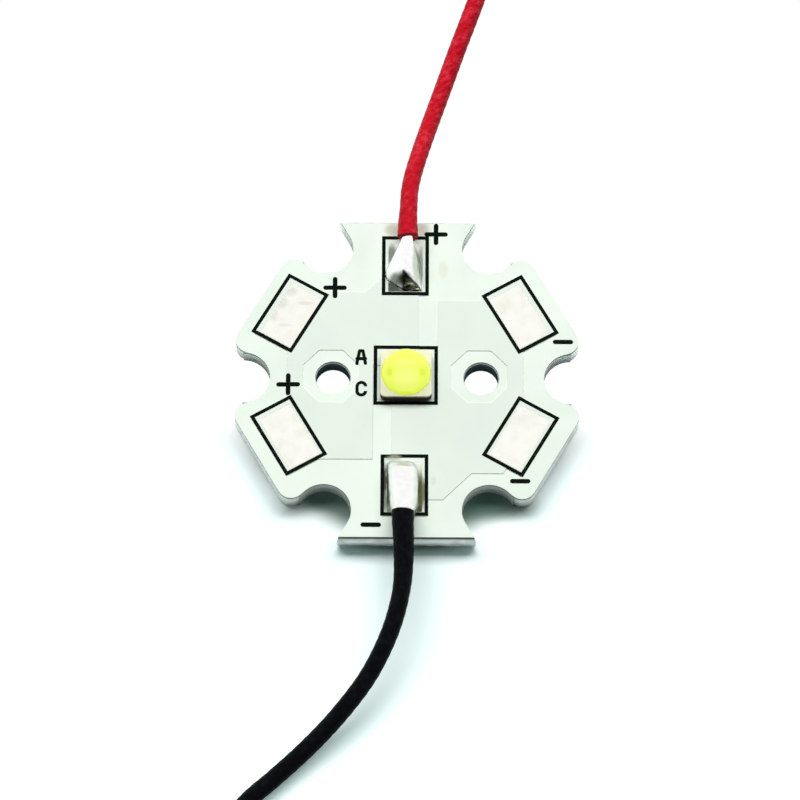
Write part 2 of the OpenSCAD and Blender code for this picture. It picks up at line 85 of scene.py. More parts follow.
def feed(node: bpy.types.Node, inputs: dict[str | int, object]) -> None:
    """Fill a node's inputs: an output socket is linked, any other value is set.

    Args:
        node: Node that takes the inputs.
        inputs: Output sockets or plain values, by input socket.
    """
    for key, value in inputs.items():
        if isinstance(value, Socket):
            node.id_data.links.new(value, node.inputs[key])
        else:
            node.inputs[key].default_value = value


def add_node(
    tree: Tree, kind: str, inputs: dict[str | int, object] | None = None, **settings: object,
) -> bpy.types.Node:
    """Add a shader node with its settings and inputs.

    Args:
        tree: Node tree that takes the node.
        kind: Blender's name of the node type.
        inputs: Output sockets or plain values, by input socket.
        settings: Attributes of the node itself.

    Returns:
        The new node.
    """
    node = tree.nodes.new(kind)
    for key, value in settings.items():
        setattr(node, key, value)
    feed(node, inputs or {})
    return node


def mix(tree: Tree, share: Socket, low: Socket | str, high: Socket | str) -> Socket:
    """Mix two colours, each a socket or an sRGB code, by the share of the second."""
    first, second = (linear(colour) if isinstance(colour, str) else colour for colour in (low, high))
    return add_node(tree, "ShaderNodeMix", {0: share, 6: first, 7: second}, data_type="RGBA").outputs[2]


def ramp(
    tree: Tree,
    value: Socket,
    limits: Pair,
    to: Pair = (0.0, 1.0),
    soft: bool = False,
    unit: float = 1.0,
) -> Socket:
    """Turn a value between two limits into a share.

    Args:
        tree: Node tree of the material.
        value: Value to read.
        limits: Where the share begins to change and where it ends.
        to: Share at the first and at the second limit, held beyond them.
        soft: Whether the change eases in and out.
        unit: What one unit of the limits stands for.

    Returns:
        The share.
    """
    return add_node(
        tree, "ShaderNodeMapRange",
        {
            "Value": value, "From Min": limits[0] * unit, "From Max": limits[1] * unit,
            "To Min": to[0], "To Max": to[1],
        },
        interpolation_type="SMOOTHSTEP" if soft else "LINEAR",
    ).outputs["Result"]


def speckle(tree: Tree, place: Socket, size: float, detail: float) -> Socket:
    """Noise whose cells are this many millimetres wide."""
    return add_node(tree, "ShaderNodeTexNoise", {"Vector": place, "Scale": per_mm(size), "Detail": detail}).outputs[0]


def bump(tree: Tree, height: Socket, depth: float, strength: float) -> Socket:
    """Normals of a surface that is uneven by this many millimetres."""
    return add_node(
        tree, "ShaderNodeBump", {"Height": height, "Strength": strength, "Distance": depth * MM},
    ).outputs["Normal"]


def combine(tree: Tree, operation: str, one: Socket, two: Socket) -> Socket:
    """One number worked out from two."""
    return add_node(tree, "ShaderNodeMath", {0: one, 1: two}, operation=operation).outputs[0]


def measure(tree: Tree, operation: str, *vectors: object) -> Socket:
    """One number worked out from vectors, such as a length."""
    return add_node(tree, "ShaderNodeVectorMath", dict(enumerate(vectors)), operation=operation).outputs["Value"]


def start_material(name: str) -> tuple[Material, Tree, bpy.types.Node, Socket]:
    """Open a new material with a joined surface shader.

    Args:
        name: Name of the real material.

    Returns:
        The material, its node tree, its shader and the Object coordinates.
    """
    material = bpy.data.materials.new(name)
    material.use_nodes = True
    tree = material.node_tree
    tree.nodes.clear()
    shader = add_node(tree, "ShaderNodeBsdfPrincipled")
    add_node(tree, "ShaderNodeOutputMaterial", {"Surface": shader.outputs["BSDF"]})
    place = add_node(tree, "ShaderNodeTexCoord").outputs["Object"]
    return material, tree, shader, place


@dataclass(frozen=True)
class Patch:
    """A soft-edged patch of another colour, placed in millimetres on the board."""

    x: float
    y: float
    half_x: float
    half_y: float
    colour: str
    strength: float


def lay_patches(
    tree: Tree, place: Socket, colour: Socket, patches: tuple[Patch, ...], wander: float = 0.2,
) -> Socket:
    """Lay soft patches over a colour: residue, and painted shade, shadow, highlight and reflection.

    Args:
        tree: Node tree of the material.
        place: Object coordinates.
        colour: Colour under the patches.
        patches: The patches to lay.
        wander: How far their outlines stray, in millimetres.

    Returns:
        The colour with the patches on it.
    """
    if not patches:
        return colour
    stray = add_node(tree, "ShaderNodeTexNoise", {"Vector": place, "Scale": per_mm(STRAY_SIZE), "Detail": 3.0})
    strayed = add_node(
        tree, "ShaderNodeVectorMath", {0: stray.outputs["Color"], 1: (wander * MM,) * 3, 2: place},
        operation="MULTIPLY_ADD",
    ).outputs["Vector"]
    for patch in patches:
        middle_x = patch.x + wander / 2
        middle_y = patch.y + wander / 2
        centred = add_node(tree, "ShaderNodeMapping", {
            "Vector": strayed,
            "Location": (-middle_x / patch.half_x, -middle_y / patch.half_y, 0.0),
            "Scale": (per_mm(patch.half_x), per_mm(patch.half_y), 0.0),
        }).outputs["Vector"]
        fade = ramp(tree, measure(tree, "LENGTH", centred), PATCH_EDGE, (0.0, patch.strength), soft=True)
        colour = mix(tree, fade, colour, patch.colour)
    return colour


@dataclass(frozen=True)
class WhiteSolderMask:
    """White photo-imaged lacquer, cured on the board."""

    bare: str = "#E6F0E4"
    over_copper: str = "#E0E8DE"
    copper_z: Pair = (1.165, 1.19)
    cloud: str = "#D6DFD5"
    cloud_size: float = 3.0
    cloud_limits: Pair = (0.45, 0.8)
    cloud_share: float = 0.5
    peel_size: float = 0.3
    peel_depth: float = 0.004
    roughness: float = 0.48
    ior: float = 1.5
    patches: tuple[Patch, ...] = (
        Patch(-0.95, 9.55, 0.5, 0.5, "#B7AD94", 0.55),
        Patch(0.98, 9.55, 0.4, 0.6, "#B7AD94", 0.55),
        Patch(2.1, 7.0, 0.35, 0.75, "#D9CDB4", 0.35),
        Patch(1.55, -6.5, 0.22, 0.4, "#CDC5A8", 0.35),
        Patch(-0.8, -5.1, 0.6, 0.22, "#8F9178", 0.6),
        Patch(-1.28, -6.6, 0.18, 1.5, "#2A2418", 0.97),
        Patch(-1.25, -7.8, 0.2, 0.9, "#6A7A64", 0.85),
        Patch(0.95, -7.25, 0.17, 1.2, "#59623A", 0.92),
        # Painted shadow: near black along the package's front edge.
        Patch(-0.06, -1.36, 1.8, 0.3, "#0E0806", 0.97),
    )

    def material(self) -> Material:
        """Satin white with a green cast, greyer over copper, clouded, stained by flux, and with a painted shadow in
        front of the package.

        Returns:
            The finished material.
        """
        material, tree, shader, place = start_material("white solder mask lacquer")
        height = add_node(tree, "ShaderNodeSeparateXYZ", {0: place}).outputs["Z"]
        ground = mix(tree, ramp(tree, height, self.copper_z, unit=MM), self.bare, self.over_copper)
        drift = speckle(tree, place, self.cloud_size, detail=5.0)
        clouded = mix(tree, ramp(tree, drift, self.cloud_limits, (0.0, self.cloud_share)), ground, self.cloud)
        feed(shader, {
            "Base Color": lay_patches(tree, place, clouded, self.patches),
            "Roughness": self.roughness,
            "IOR": self.ior,
            "Normal": bump(tree, speckle(tree, place, self.peel_size, detail=2.0), self.peel_depth, strength=0.15),
        })
        return material


@dataclass(frozen=True)
class MetalFinish:
    """A bare metal with its grain, smudges and waviness."""

    name: str
    colour: str
    smudge: str
    smudge_size: float
    smudge_share: float
    roughness: Pair
    grain_size: Triple
    grain_depth: float
    patches: tuple[Patch, ...] = ()
    smudge_limits: Pair = (0.42, 0.75)
    dull_limits: Pair = (0.3, 0.75)

    def material(self) -> Material:
        """Metal whose smudges dull it and whose grain breaks up what it mirrors.

        Returns:
            The finished material.
        """
        material, tree, shader, place = start_material(self.name)
        marks = speckle(tree, place, self.smudge_size, detail=6.0)
        marked = ramp(tree, marks, self.smudge_limits, (0.0, self.smudge_share))
        scale = tuple(per_mm(size) for size in self.grain_size)
        stretched = add_node(tree, "ShaderNodeMapping", {"Vector": place, "Scale": scale}).outputs["Vector"]
        grain = add_node(tree, "ShaderNodeTexNoise", {"Vector": stretched, "Scale": 1.0, "Detail": 3.0})
        feed(shader, {
            "Base Color": lay_patches(tree, place, mix(tree, marked, self.colour, self.smudge), self.patches),
            "Metallic": 1.0,
            "Roughness": ramp(tree, marks, self.dull_limits, self.roughness),
            "Normal": bump(tree, grain.outputs[0], self.grain_depth, strength=0.6),
        })
        return material


@dataclass(frozen=True)
class PlainFinish:
    """A non-metal with a mottled colour and a fine surface."""

    name: str
    colour: str
    mottle: str
    mottle_size: float
    mottle_share: float
    roughness: float
    grain_size: float
    grain_depth: float
    ior: float = 1.5
    specular: float = 0.5
    patches: tuple[Patch, ...] = ()
    mottle_limits: Pair = (0.4, 0.7)

    def material(self) -> Material:
        """Two near tones drift into each other over a finely uneven surface.

        Returns:
            The finished material.
        """
        material, tree, shader, place = start_material(self.name)
        drift = speckle(tree, place, self.mottle_size, detail=4.0)
        share = ramp(tree, drift, self.mottle_limits, (0.0, self.mottle_share))
        feed(shader, {
            "Base Color": lay_patches(tree, place, mix(tree, share, self.colour, self.mottle), self.patches),
            "Roughness": self.roughness,
            "IOR": self.ior,
            "Specular IOR Level": self.specular,
            "Normal": bump(tree, speckle(tree, place, self.grain_size, detail=2.0), self.grain_depth, strength=0.5),
        })
        return material


@dataclass(frozen=True)
class ClearSilicone:
    """Optical silicone, cast clear."""

    tint: str = "#FDFFF2"
    sheen: str = "#8C8C8C"
    roughness: float = 0.2
    ior: float = 1.41
    ripple_size: float = 0.9
    ripple_depth: float = 0.01

    def material(self) -> Material:
        """Clear and softly glossy, so that the yellow under it fills the whole dome.

        Returns:
            The finished material.
        """
        material, tree, shader, place = start_material("clear optical silicone")
        feed(shader, {
            "Base Color": linear(self.tint),
            "Roughness": self.roughness,
            "IOR": self.ior,
            "Specular Tint": linear(self.sheen),
            "Transmission Weight": 1.0,
            "Normal": bump(tree, speckle(tree, place, self.ripple_size, detail=1.0), self.ripple_depth, strength=0.1),
        })
        return material


@dataclass(frozen=True)
class PhosphorLayer:
    """Yellow phosphor in silicone, which shows all through the dome."""

    middle: str = "#EEF97A"
    body: str = "#EAF764"
    rim: str = "#DDEF4E"
    centre: Pair = (-0.06, 0.08)
    middle_limits: Pair = (0.9, 0.1)
    rim_limits: Pair = (1.05, 1.4)
    roughness: float = 0.7
    ior: float = 1.41
    # Painted glow of the phosphor, though no lamp lights it from within.
    painted_glow: float = 0.1
    patches: tuple[Patch, ...] = (
        # Painted highlight: paler low in the dome.
        Patch(-0.06, -0.45, 0.85, 0.65, "#F7FD94", 0.65),
        Patch(-0.88, 0.0, 0.26, 0.3, "#CFE02E", 0.6),
        Patch(0.76, 0.0, 0.26, 0.3, "#CFE02E", 0.6),
        # Painted shade: deeper green at the dome's front foot.
        Patch(-0.06, -1.3, 0.5, 0.22, "#C6DE2A", 0.6),
    )

    def material(self) -> Material:
        """Lime yellow, paler in the middle, matt, with a painted highlight low in the dome, painted shade at its front
        foot and a small painted glow.

        Returns:
            The finished material.
        """
        material, tree, shader, place = start_material("phosphor in silicone")
        centred = add_node(tree, "ShaderNodeMapping", {
            "Vector": place,
            "Location": (-self.centre[0], -self.centre[1], 0.0),
            "Scale": (per_mm(1), per_mm(1), 0.0),
        }).outputs["Vector"]
        reach = measure(tree, "LENGTH", centred)
        inner = mix(tree, ramp(tree, reach, self.middle_limits, soft=True), self.body, self.middle)
        outer = mix(tree, ramp(tree, reach, self.rim_limits, soft=True), inner, self.rim)
        colour = lay_patches(tree, place, outer, self.patches, wander=0.1)
        feed(shader, {
            "Base Color": colour,
            "Roughness": self.roughness,
            "IOR": self.ior,
            "Emission Color": colour,
            "Emission Strength": self.painted_glow,
        })
        return material


@dataclass(frozen=True)
class WireInsulation:
    """Thin PVC drawn over stranded wire, so that the strands show through as bumps."""

    name: str
    ridge: str
    # The colour in the grooves between strands is painted shade.
    groove: str
    # Scuffs; on the black PVC they are a painted sheen.
    scuff_and_sheen: str
    roughness: float
    specular: float
    lump: float
    lump_size: float = 0.42
    scuff_size: float = 0.4
    scuff_limits: Pair = (0.5, 0.72)
    scuff_share: float = 0.6
    ior: float = 1.53

    def material(self) -> Material:
        """Satin plastic, with painted shade deeper in colour in the grooves between the strands, lumpy, faintly
        scuffed, and with a painted bluish sheen in patches on the black.

        Returns:
            The finished material.
        """
        material, tree, shader, place = start_material(self.name)
        depth = add_node(tree, "ShaderNodeAttribute", attribute_name="groove").outputs["Fac"]
        ground = mix(tree, depth, self.ridge, self.groove)
        drift = speckle(tree, place, self.scuff_size, detail=3.0)
        feed(shader, {
            "Base Color": mix(tree, ramp(tree, drift, self.scuff_limits, (0.0, self.scuff_share)), ground, self.scuff_and_sheen),
            "Roughness": self.roughness,
            "IOR": self.ior,
            "Specular IOR Level": self.specular,
            "Normal": bump(tree, speckle(tree, place, self.lump_size, detail=2.0), self.lump, strength=0.6),
        })
        return material


# Routed aluminium: satin pale grey with fine upright cutter marks along its walls.
ALUMINIUM = MetalFinish(
    "routed aluminium", "#E4EAE7", "#B4BFBA", 0.8, 0.6, (0.5, 0.68), (0.12, 0.12, 0.9), 0.012,
)
# Drilled aluminium: the walls of the two pin holes, painted dark as the shade inside them.
SHADED_HOLE_WALL = MetalFinish(
    "drilled aluminium", "#8FAAB4", "#5E7480", 0.5, 0.8, (0.4, 0.6), (0.3, 0.3, 0.08), 0.015,
)
# Hot-levelled tin: bright, a little warm, with dull fingerprint-like smudges.
TIN = MetalFinish(
    "hot levelled tin", "#FFFFF7", "#EFECE0", 0.7, 0.5, (0.3, 0.5), (0.5, 0.5, 0.5), 0.006,
)
# The same tin round the back joint, with painted reflections and painted shadow of the solder: greenish grey beside
# the joint and dark in front of it, partly flux.
BACK_TIN = replace(TIN, patches=(
    Patch(-0.95, 7.9, 0.4, 1.0, "#66736A", 0.85),
    Patch(0.78, 7.3, 0.26, 1.6, "#74827A", 0.8),
    Patch(-0.85, 5.85, 0.95, 0.62, "#323B32", 0.92),
    Patch(0.2, 5.6, 0.9, 0.16, "#2B2F26", 0.85),
))
# The same tin round the front joint, dark and olive along the solder's feet, partly flux and partly painted
# reflections of the solder.
FRONT_TIN = replace(TIN, patches=(
    Patch(-1.22, -7.0, 0.5, 2.2, "#2E2C1E", 0.97),
    Patch(0.86, -7.3, 0.48, 1.9, "#565A26", 0.97),
    Patch(0.66, -8.4, 0.5, 0.5, "#3C3F2C", 0.9),
    Patch(-1.0, -8.45, 0.3, 0.3, "#59614F", 0.8),
))
# The same tin with the grey rub marks that one pad shows along its outer side.
RUBBED_TIN = replace(TIN, patches=(
    Patch(-6.85, 5.5, 0.5, 0.35, "#BDBBAD", 0.3),
    Patch(-7.3, 4.85, 0.35, 0.55, "#BDBBAD", 0.3),
    Patch(-7.85, 4.05, 0.3, 0.6, "#C2C0B4", 0.3),
    Patch(-6.0, 4.75, 0.6, 0.16, "#D2CFC6", 0.35),
    Patch(-7.2, 3.35, 0.6, 0.14, "#D2CFC6", 0.3),
))
# Solder that froze quickly: bright skin, slightly puckered.
SOLDER = MetalFinish(
    "bright solder", "#FFFFFE", "#E6E8E5", 0.35, 0.35, (0.14, 0.28), (0.22, 0.22, 0.22), 0.01,
)
# The same solder on the back pad, with painted reflections: dark down its front, partly burnt flux, and pale then grey
# down its right flank.
BACK_SOLDER = replace(SOLDER, patches=(
    Patch(-0.75, 6.15, 0.5, 0.45, "#5E6A58", 0.85),
    Patch(-0.2, 6.1, 0.55, 0.42, "#232C1E", 0.97),
    Patch(0.05, 5.72, 0.6, 0.2, "#1E1A12", 0.95),
    Patch(0.52, 7.0, 0.3, 1.7, "#C0CFB8", 0.85),
    Patch(0.75, 7.2, 0.22, 1.5, "#7C877F", 0.75),
))
# The same solder on the front pad, duller, so that it mirrors softly, dark and olive along its feet, partly flux and
# partly painted reflections.
FRONT_SOLDER = replace(SOLDER, roughness=(0.28, 0.42), patches=(
    Patch(-1.14, -7.0, 0.14, 2.0, "#3A3A2A", 0.9),
    Patch(-1.06, -7.8, 0.16, 0.9, "#6E806C", 0.8),
    Patch(0.75, -7.0, 0.12, 1.8, "#74773A", 0.9),
))
# Tinned copper strands: bright greyish metal with drawing lines.
STRANDS = MetalFinish(
    "tinned copper strands", "#DADAD4", "#A8A49A", 0.3, 0.5, (0.22, 0.4), (0.1, 0.1, 0.1), 0.008,
)
# Rolled copper foil: salmon metal, dulled in patches.
COPPER = MetalFinish(
    "rolled copper foil", "#C9825A", "#9A5B3C", 0.7, 0.5, (0.3, 0.5), (0.05, 0.6, 0.2), 0.004,
)
# Bond wire gold: bright yellow metal.
GOLD = MetalFinish(
    "gold bond wire", "#E8C46A", "#C79F45", 0.1, 0.4, (0.15, 0.3), (0.05, 0.05, 0.05), 0.002,
)
# Filled epoxy: dull grey-green with pale filler specks.
EPOXY = PlainFinish("filled epoxy dielectric", "#8E9B91", "#AEB8AF", 0.12, 0.7, 0.6, 0.08, 0.006)
# Screen-printed ink: near black with a green cast, matt, thin where it dried unevenly.
INK = PlainFinish(
    "dark legend ink", "#080D09", "#121A14", 0.25, 0.7, 0.7, 0.08, 0.004, specular=0.04,
    patches=(Patch(-0.73, -5.02, 0.5, 0.22, "#8F9178", 0.9),),
)
# Ceramic body, painted near black as the shade on its walls: dark warm grey and matt, with a fine sugary grain.
SHADED_CERAMIC = PlainFinish("sintered aluminium nitride", "#2E2A20", "#221E15", 0.3, 0.6, 0.6, 0.05, 0.003, 2.0, 0.1)
# Clear silicone flange over cream alumina: pale cream with a soft gloss.
FLANGE = PlainFinish("silicone flange", "#E9E7C8", "#DCDCB6", 0.5, 0.6, 0.4, 0.2, 0.003, 1.41)
# Sawn LED die: yellowish through its coating, glassy.
DIE = PlainFinish("coated LED die", "#C9C05A", "#A89F40", 0.1, 0.5, 0.3, 0.05, 0.002, 2.0)
# Sawn silicon: grey and half glossy.
SILICON = PlainFinish("sawn silicon", "#6E6E6C", "#8C8C88", 0.08, 0.5, 0.35, 0.04, 0.002, 3.0)
# Paper-covered twist tie: off-white with a fibrous mottle.
TIE_PAPER = PlainFinish("paper twist tie", "#EDEBE4", "#D5D2C6", 0.25, 0.7, 0.75, 0.12, 0.02)
# Red PVC: strong satin red, paler where it is scuffed.
RED_PVC = WireInsulation("red PVC insulation", "#BE0E22", "#AC0A1C", "#DA3A4B", 0.5, 0.12, 0.2)
# Black PVC: near black, with a painted faint bluish sheen in patches.
BLACK_PVC = WireInsulation("black PVC insulation", "#040507", "#020203", "#12161B", 0.45, 0.04, 0.06)


def add_object(name: str, data: bpy.types.ID) -> Piece:
    """Put a new object with this data in the scene.

    Args:
        name: Name of the object.
        data: What it shows or does.

    Returns:
        The object.
    """
    item = bpy.data.objects.new(name, data)
    bpy.context.scene.collection.objects.link(item)
    return item


def release() -> None:
    """Leave edit mode with nothing selected, ready for a new primitive."""
    if bpy.context.mode != "OBJECT":
        bpy.ops.object.mode_set(mode="OBJECT")
    bpy.ops.object.select_all(action="DESELECT")


def take(piece: Piece) -> None:
    """Leave only this object selected and make it the active one.

    Args:
        piece: The object to take.
    """
    release()
    piece.select_set(True)
    bpy.context.view_layer.objects.active = piece


def open_up(piece: Piece) -> None:
    """Enter edit mode on this piece with all of it selected.

    Args:
        piece: The piece to open.
    """
    take(piece)
    bpy.ops.object.mode_set(mode="EDIT")
    bpy.ops.mesh.select_all(action="SELECT")


def adopt(name: str) -> Piece:
    """Name the primitive just added, bake its placement into its mesh and open it up.

    Args:
        name: Name of the new piece.

    Returns:
        The piece, in edit mode.
    """
    piece = bpy.context.active_object
    piece.name = name
    bpy.ops.object.transform_apply(location=True, rotation=True, scale=True)
    open_up(piece)
    return piece


def merged_copy(node: str, name: str) -> Piece:
    """Copy a CAD node into a piece of its own, with its triangles joined to whole faces.

    Args:
        node: CAD node to copy.
        name: Name of the new piece.

    Returns:
        The copy, selected and in edit mode.
    """
    piece = add_object(name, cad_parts[node].data.copy())
    open_up(piece)
    bpy.ops.mesh.remove_doubles(threshold=JOIN_REACH * MM)
    bpy.ops.mesh.dissolve_limited(angle_limit=math.radians(FLAT_DEGREES))
    return piece


class Choice(Enum):
    """What a selection in edit mode is made of."""

    EDGE = "edges"
    FACE = "faces"


def pick(piece: Piece, choice: Choice, test: Callable[[bmesh.types.BMEdge | bmesh.types.BMFace], bool]) -> int:
    """Select in edit mode the edges or faces that pass a test.

    Args:
        piece: Object in edit mode.
        choice: Whether edges or faces are tested.
        test: Says whether one of them is wanted.

    Returns:
        How many are selected.
    """
    bpy.ops.mesh.select_mode(type=choice.name)
    bpy.ops.mesh.select_all(action="DESELECT")
    mesh = bmesh.from_edit_mesh(piece.data)
    wanted = [item for item in getattr(mesh, choice.value) if test(item)]
    for item in wanted:
        item.select_set(True)
    bmesh.update_edit_mesh(piece.data)
    return len(wanted)


def is_sharp(edge: bmesh.types.BMEdge, degrees: float = 35.0) -> bool:
    """Whether an edge turns more than this between its two faces."""
    return len(edge.link_faces) == 2 and edge.calc_face_angle(0.0) > math.radians(degrees)


def turn_outwards() -> None:
    """Turn all faces of the mesh in edit mode outwards."""
    bpy.ops.mesh.select_all(action="SELECT")
    bpy.ops.mesh.normals_make_consistent(inside=False)


def crown(inwards: float, up: float) -> None:
    """Inset the selected faces and lift what is inside, in millimetres."""
    bpy.ops.mesh.inset(thickness=inwards * MM)
    bpy.ops.transform.translate(value=(0.0, 0.0, up * MM))


def smooth(piece: Piece, degrees: float) -> None:
    """Shade a piece smooth, apart from edges sharper than this."""
    take(piece)
    bpy.ops.object.shade_smooth_by_angle(angle=math.radians(degrees))


def flatten_shading(piece: Piece) -> None:
    """Let the large flat faces rule the shading, so that only the eased edges turn the light.

    Args:
        piece: The piece to shade.
    """
    take(piece)
    even = piece.modifiers.new("even_normals", "WEIGHTED_NORMAL")
    even.keep_sharp = True
    bpy.ops.object.modifier_apply(modifier=even.name)


def hand_over(piece: Piece, slot: str, material: Material | None, *nodes: str) -> None:
    """Dress a finished piece, tie it to the frame and report it.

    Args:
        piece: The finished piece.
        slot: Material slot of the record for the piece; not used.
        material: Its one material, or None where it is dressed already.
        nodes: CAD nodes that it stands for.
    """
    release()
    if material:
        piece.data.materials.clear()
        piece.data.materials.append(material)
    if nodes:
        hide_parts(*nodes)
    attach(piece, "root")
    LOG.info("%s: %d faces", piece.name, len(piece.data.polygons))


def dress_nodes(finish: MetalFinish | PlainFinish, *nodes: str) -> None:
    """Give CAD nodes a better material in their own slots.

    Args:
        finish: Finish that they take.
        nodes: CAD nodes that keep their shape.
    """
    material = finish.material()
    for node in nodes:
        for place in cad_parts[node].material_slots:
            place.material = material
        LOG.info("%s: %s", node, material.name)


def ray_kinds(tree: Tree) -> tuple[Socket, Socket]:
    """Tell rays that show a surface from those that only light others.

    Args:
        tree: Node tree of the material or the world.

    Returns:
        Whether a ray comes from the camera, and whether from the camera, a mirroring surface or through the lens.
    """
    ray = add_node(tree, "ShaderNodeLightPath").outputs
    seen = combine(tree, "MAXIMUM", ray["Is Camera Ray"], ray["Is Glossy Ray"])
    return ray["Is Camera Ray"], combine(tree, "MAXIMUM", seen, ray["Is Transmission Ray"])


@dataclass
class Studio:
    """Camera, pale floor and soft light, in millimetres and degrees."""

    aim: Triple = (-0.407, -1.388, 1.17)
    distance: float = 311.57
    elevation: float = 66.546
    roll: float = -0.314
    focal_px: float = 5342.1
    image_px: float = 800.0
    sensor: float = 36.0
    key_azimuth: float = 92.0
    key_elevation: float = 52.0
    key_distance: float = 800.0
    key_width: float = 1500.0
    key_height: float = 320.0
    key_power: float = 12.0
    floor_size: float = 6000.0
    floor_z: float = -0.01
    paper: str = "#F7FFFE"
    paper_bounce: str = "#8C8C8C"
    # Painted shade and painted shadows on the floor round the board.
    painted_contact_shade: str = "#74837B"
    painted_contact_span: Pair = (8.8, 10.4)
    painted_shadows: tuple[Patch, ...] = (
        Patch(0.0, -10.0, 4.5, 0.6, "#8A9C92", 1.0),
        Patch(5.0, -7.35, 2.9, 1.35, "#5F7A70", 0.95),
        Patch(-4.9, -6.95, 2.4, 1.15, "#5F7A70", 0.9),
    )
    # Painted cool light in the shadows clear of the board.
    painted_fill_near: str = "#30504D"
    painted_fill_far: str = "#7C908E"
    painted_fill_span: Pair = (11.5, 23.0)
    painted_fill_rise: Pair = (10.1, 11.3)
    # Where the floor is painted white over the shadows: under the pin holes and behind the board.
    hole_x: float = 4.33
    hole_span: Pair = (1.9, 1.6)
    back_span: Pair = (-5.5, -0.5)
    open_span: Pair = (60.0, 120.0)
    white: str = "#FFFFFF"
    sky: str = "#879A94"
    camera_side: str = "#2A2C2E"
    near_way: Triple = (0.0, -0.93, 0.37)
    near_limits: Pair = (-0.5, 0.75)
    low_way: Triple = (0.0, -0.99, 0.12)
    low_limits: Pair = (0.62, 0.95)

    def place_camera(self) -> None:
        """Set the camera where the photograph was taken from."""
        tilt = math.radians(self.elevation)
        turn = math.radians(self.roll)
        back = Vector((0.0, -math.cos(tilt), math.sin(tilt)))
        right = Vector((1.0, 0.0, 0.0))
        up = back.cross(right)
        across = right * math.cos(turn) - up * math.sin(turn)
        upward = right * math.sin(turn) + up * math.cos(turn)
        spot = Vector(self.aim) * MM + back * self.distance * MM
        lens = bpy.data.cameras.new("camera")
        lens.sensor_width = self.sensor
        lens.lens = self.focal_px / self.image_px * self.sensor
        lens.clip_start = 0.01
        lens.clip_end = 20.0
        camera = add_object("camera", lens)
        camera.matrix_world = Matrix((
            (across.x, upward.x, back.x, spot.x),
            (across.y, upward.y, back.y, spot.y),
            (across.z, upward.z, back.z, spot.z),
            (0.0, 0.0, 0.0, 1.0),
        ))
        bpy.context.scene.camera = camera

    def lay_floor(self) -> None:
        """Lay a white floor that keeps the shadow in front, with painted shade and shadows added there and painted
        cool light in the shadows further off, and is painted white beside, behind and under the pin holes.
        """
        release()
        bpy.ops.mesh.primitive_plane_add(size=self.floor_size * MM, location=(0.0, 0.0, self.floor_z * MM))
        floor = bpy.context.active_object
        floor.name = "floor"
        material, tree, shader, place = start_material("white paper floor")
        tree.nodes.remove(shader)
        from_camera, shows = ray_kinds(tree)
        reach = measure(tree, "LENGTH", place)
        # The paper, with painted shade where the board stands close over it and painted shadows in front of it and in
        # its front notches.
        bright = mix(tree, ramp(tree, reach, self.painted_contact_span, soft=True, unit=MM), self.painted_contact_shade, self.paper)
        shaded = lay_patches(tree, place, bright, self.painted_shadows, wander=0.1)
        tone = mix(tree, shows, self.paper_bounce, shaded)
        paper = add_node(tree, "ShaderNodeBsdfDiffuse", {"Color": tone})
        # Painted cool light: a glow seen only by the camera, which lifts and tints the shadows clear of the board.
        cast = mix(tree, ramp(tree, reach, self.painted_fill_span, unit=MM), self.painted_fill_near, self.painted_fill_far)
        lift = combine(tree, "MULTIPLY", ramp(tree, reach, self.painted_fill_rise, unit=MM), from_camera)
        painted_glow = add_node(tree, "ShaderNodeEmission", {"Color": cast, "Strength": lift})
        lifted = add_node(tree, "ShaderNodeAddShader", {0: paper.outputs["BSDF"], 1: painted_glow.outputs["Emission"]})
        # Painted white for the camera under the pin holes and behind the board, over the shadows there, and white far
        # off as the backdrop.
        folded = add_node(tree, "ShaderNodeVectorMath", {0: place}, operation="ABSOLUTE").outputs["Vector"]
        from_hole = measure(tree, "DISTANCE", folded, (self.hole_x * MM, 0.0, 0.0))
        along = add_node(tree, "ShaderNodeSeparateXYZ", {0: place}).outputs["Y"]
        under = ramp(tree, from_hole, self.hole_span, unit=MM)
        behind = ramp(tree, along, self.back_span, soft=True, unit=MM)
        outside = ramp(tree, reach, self.open_span, unit=MM)
        anywhere = combine(tree, "MAXIMUM", combine(tree, "MAXIMUM", under, behind), outside)
        shown = combine(tree, "MULTIPLY", anywhere, from_camera)
        white = add_node(tree, "ShaderNodeEmission", {"Color": linear(self.white), "Strength": 1.0})
        surface = add_node(
            tree, "ShaderNodeMixShader", {0: shown, 1: lifted.outputs["Shader"], 2: white.outputs["Emission"]},
        )
        exit_node = next(node for node in tree.nodes if node.bl_idname == "ShaderNodeOutputMaterial")
        feed(exit_node, {"Surface": surface.outputs["Shader"]})
        floor.data.materials.append(material)

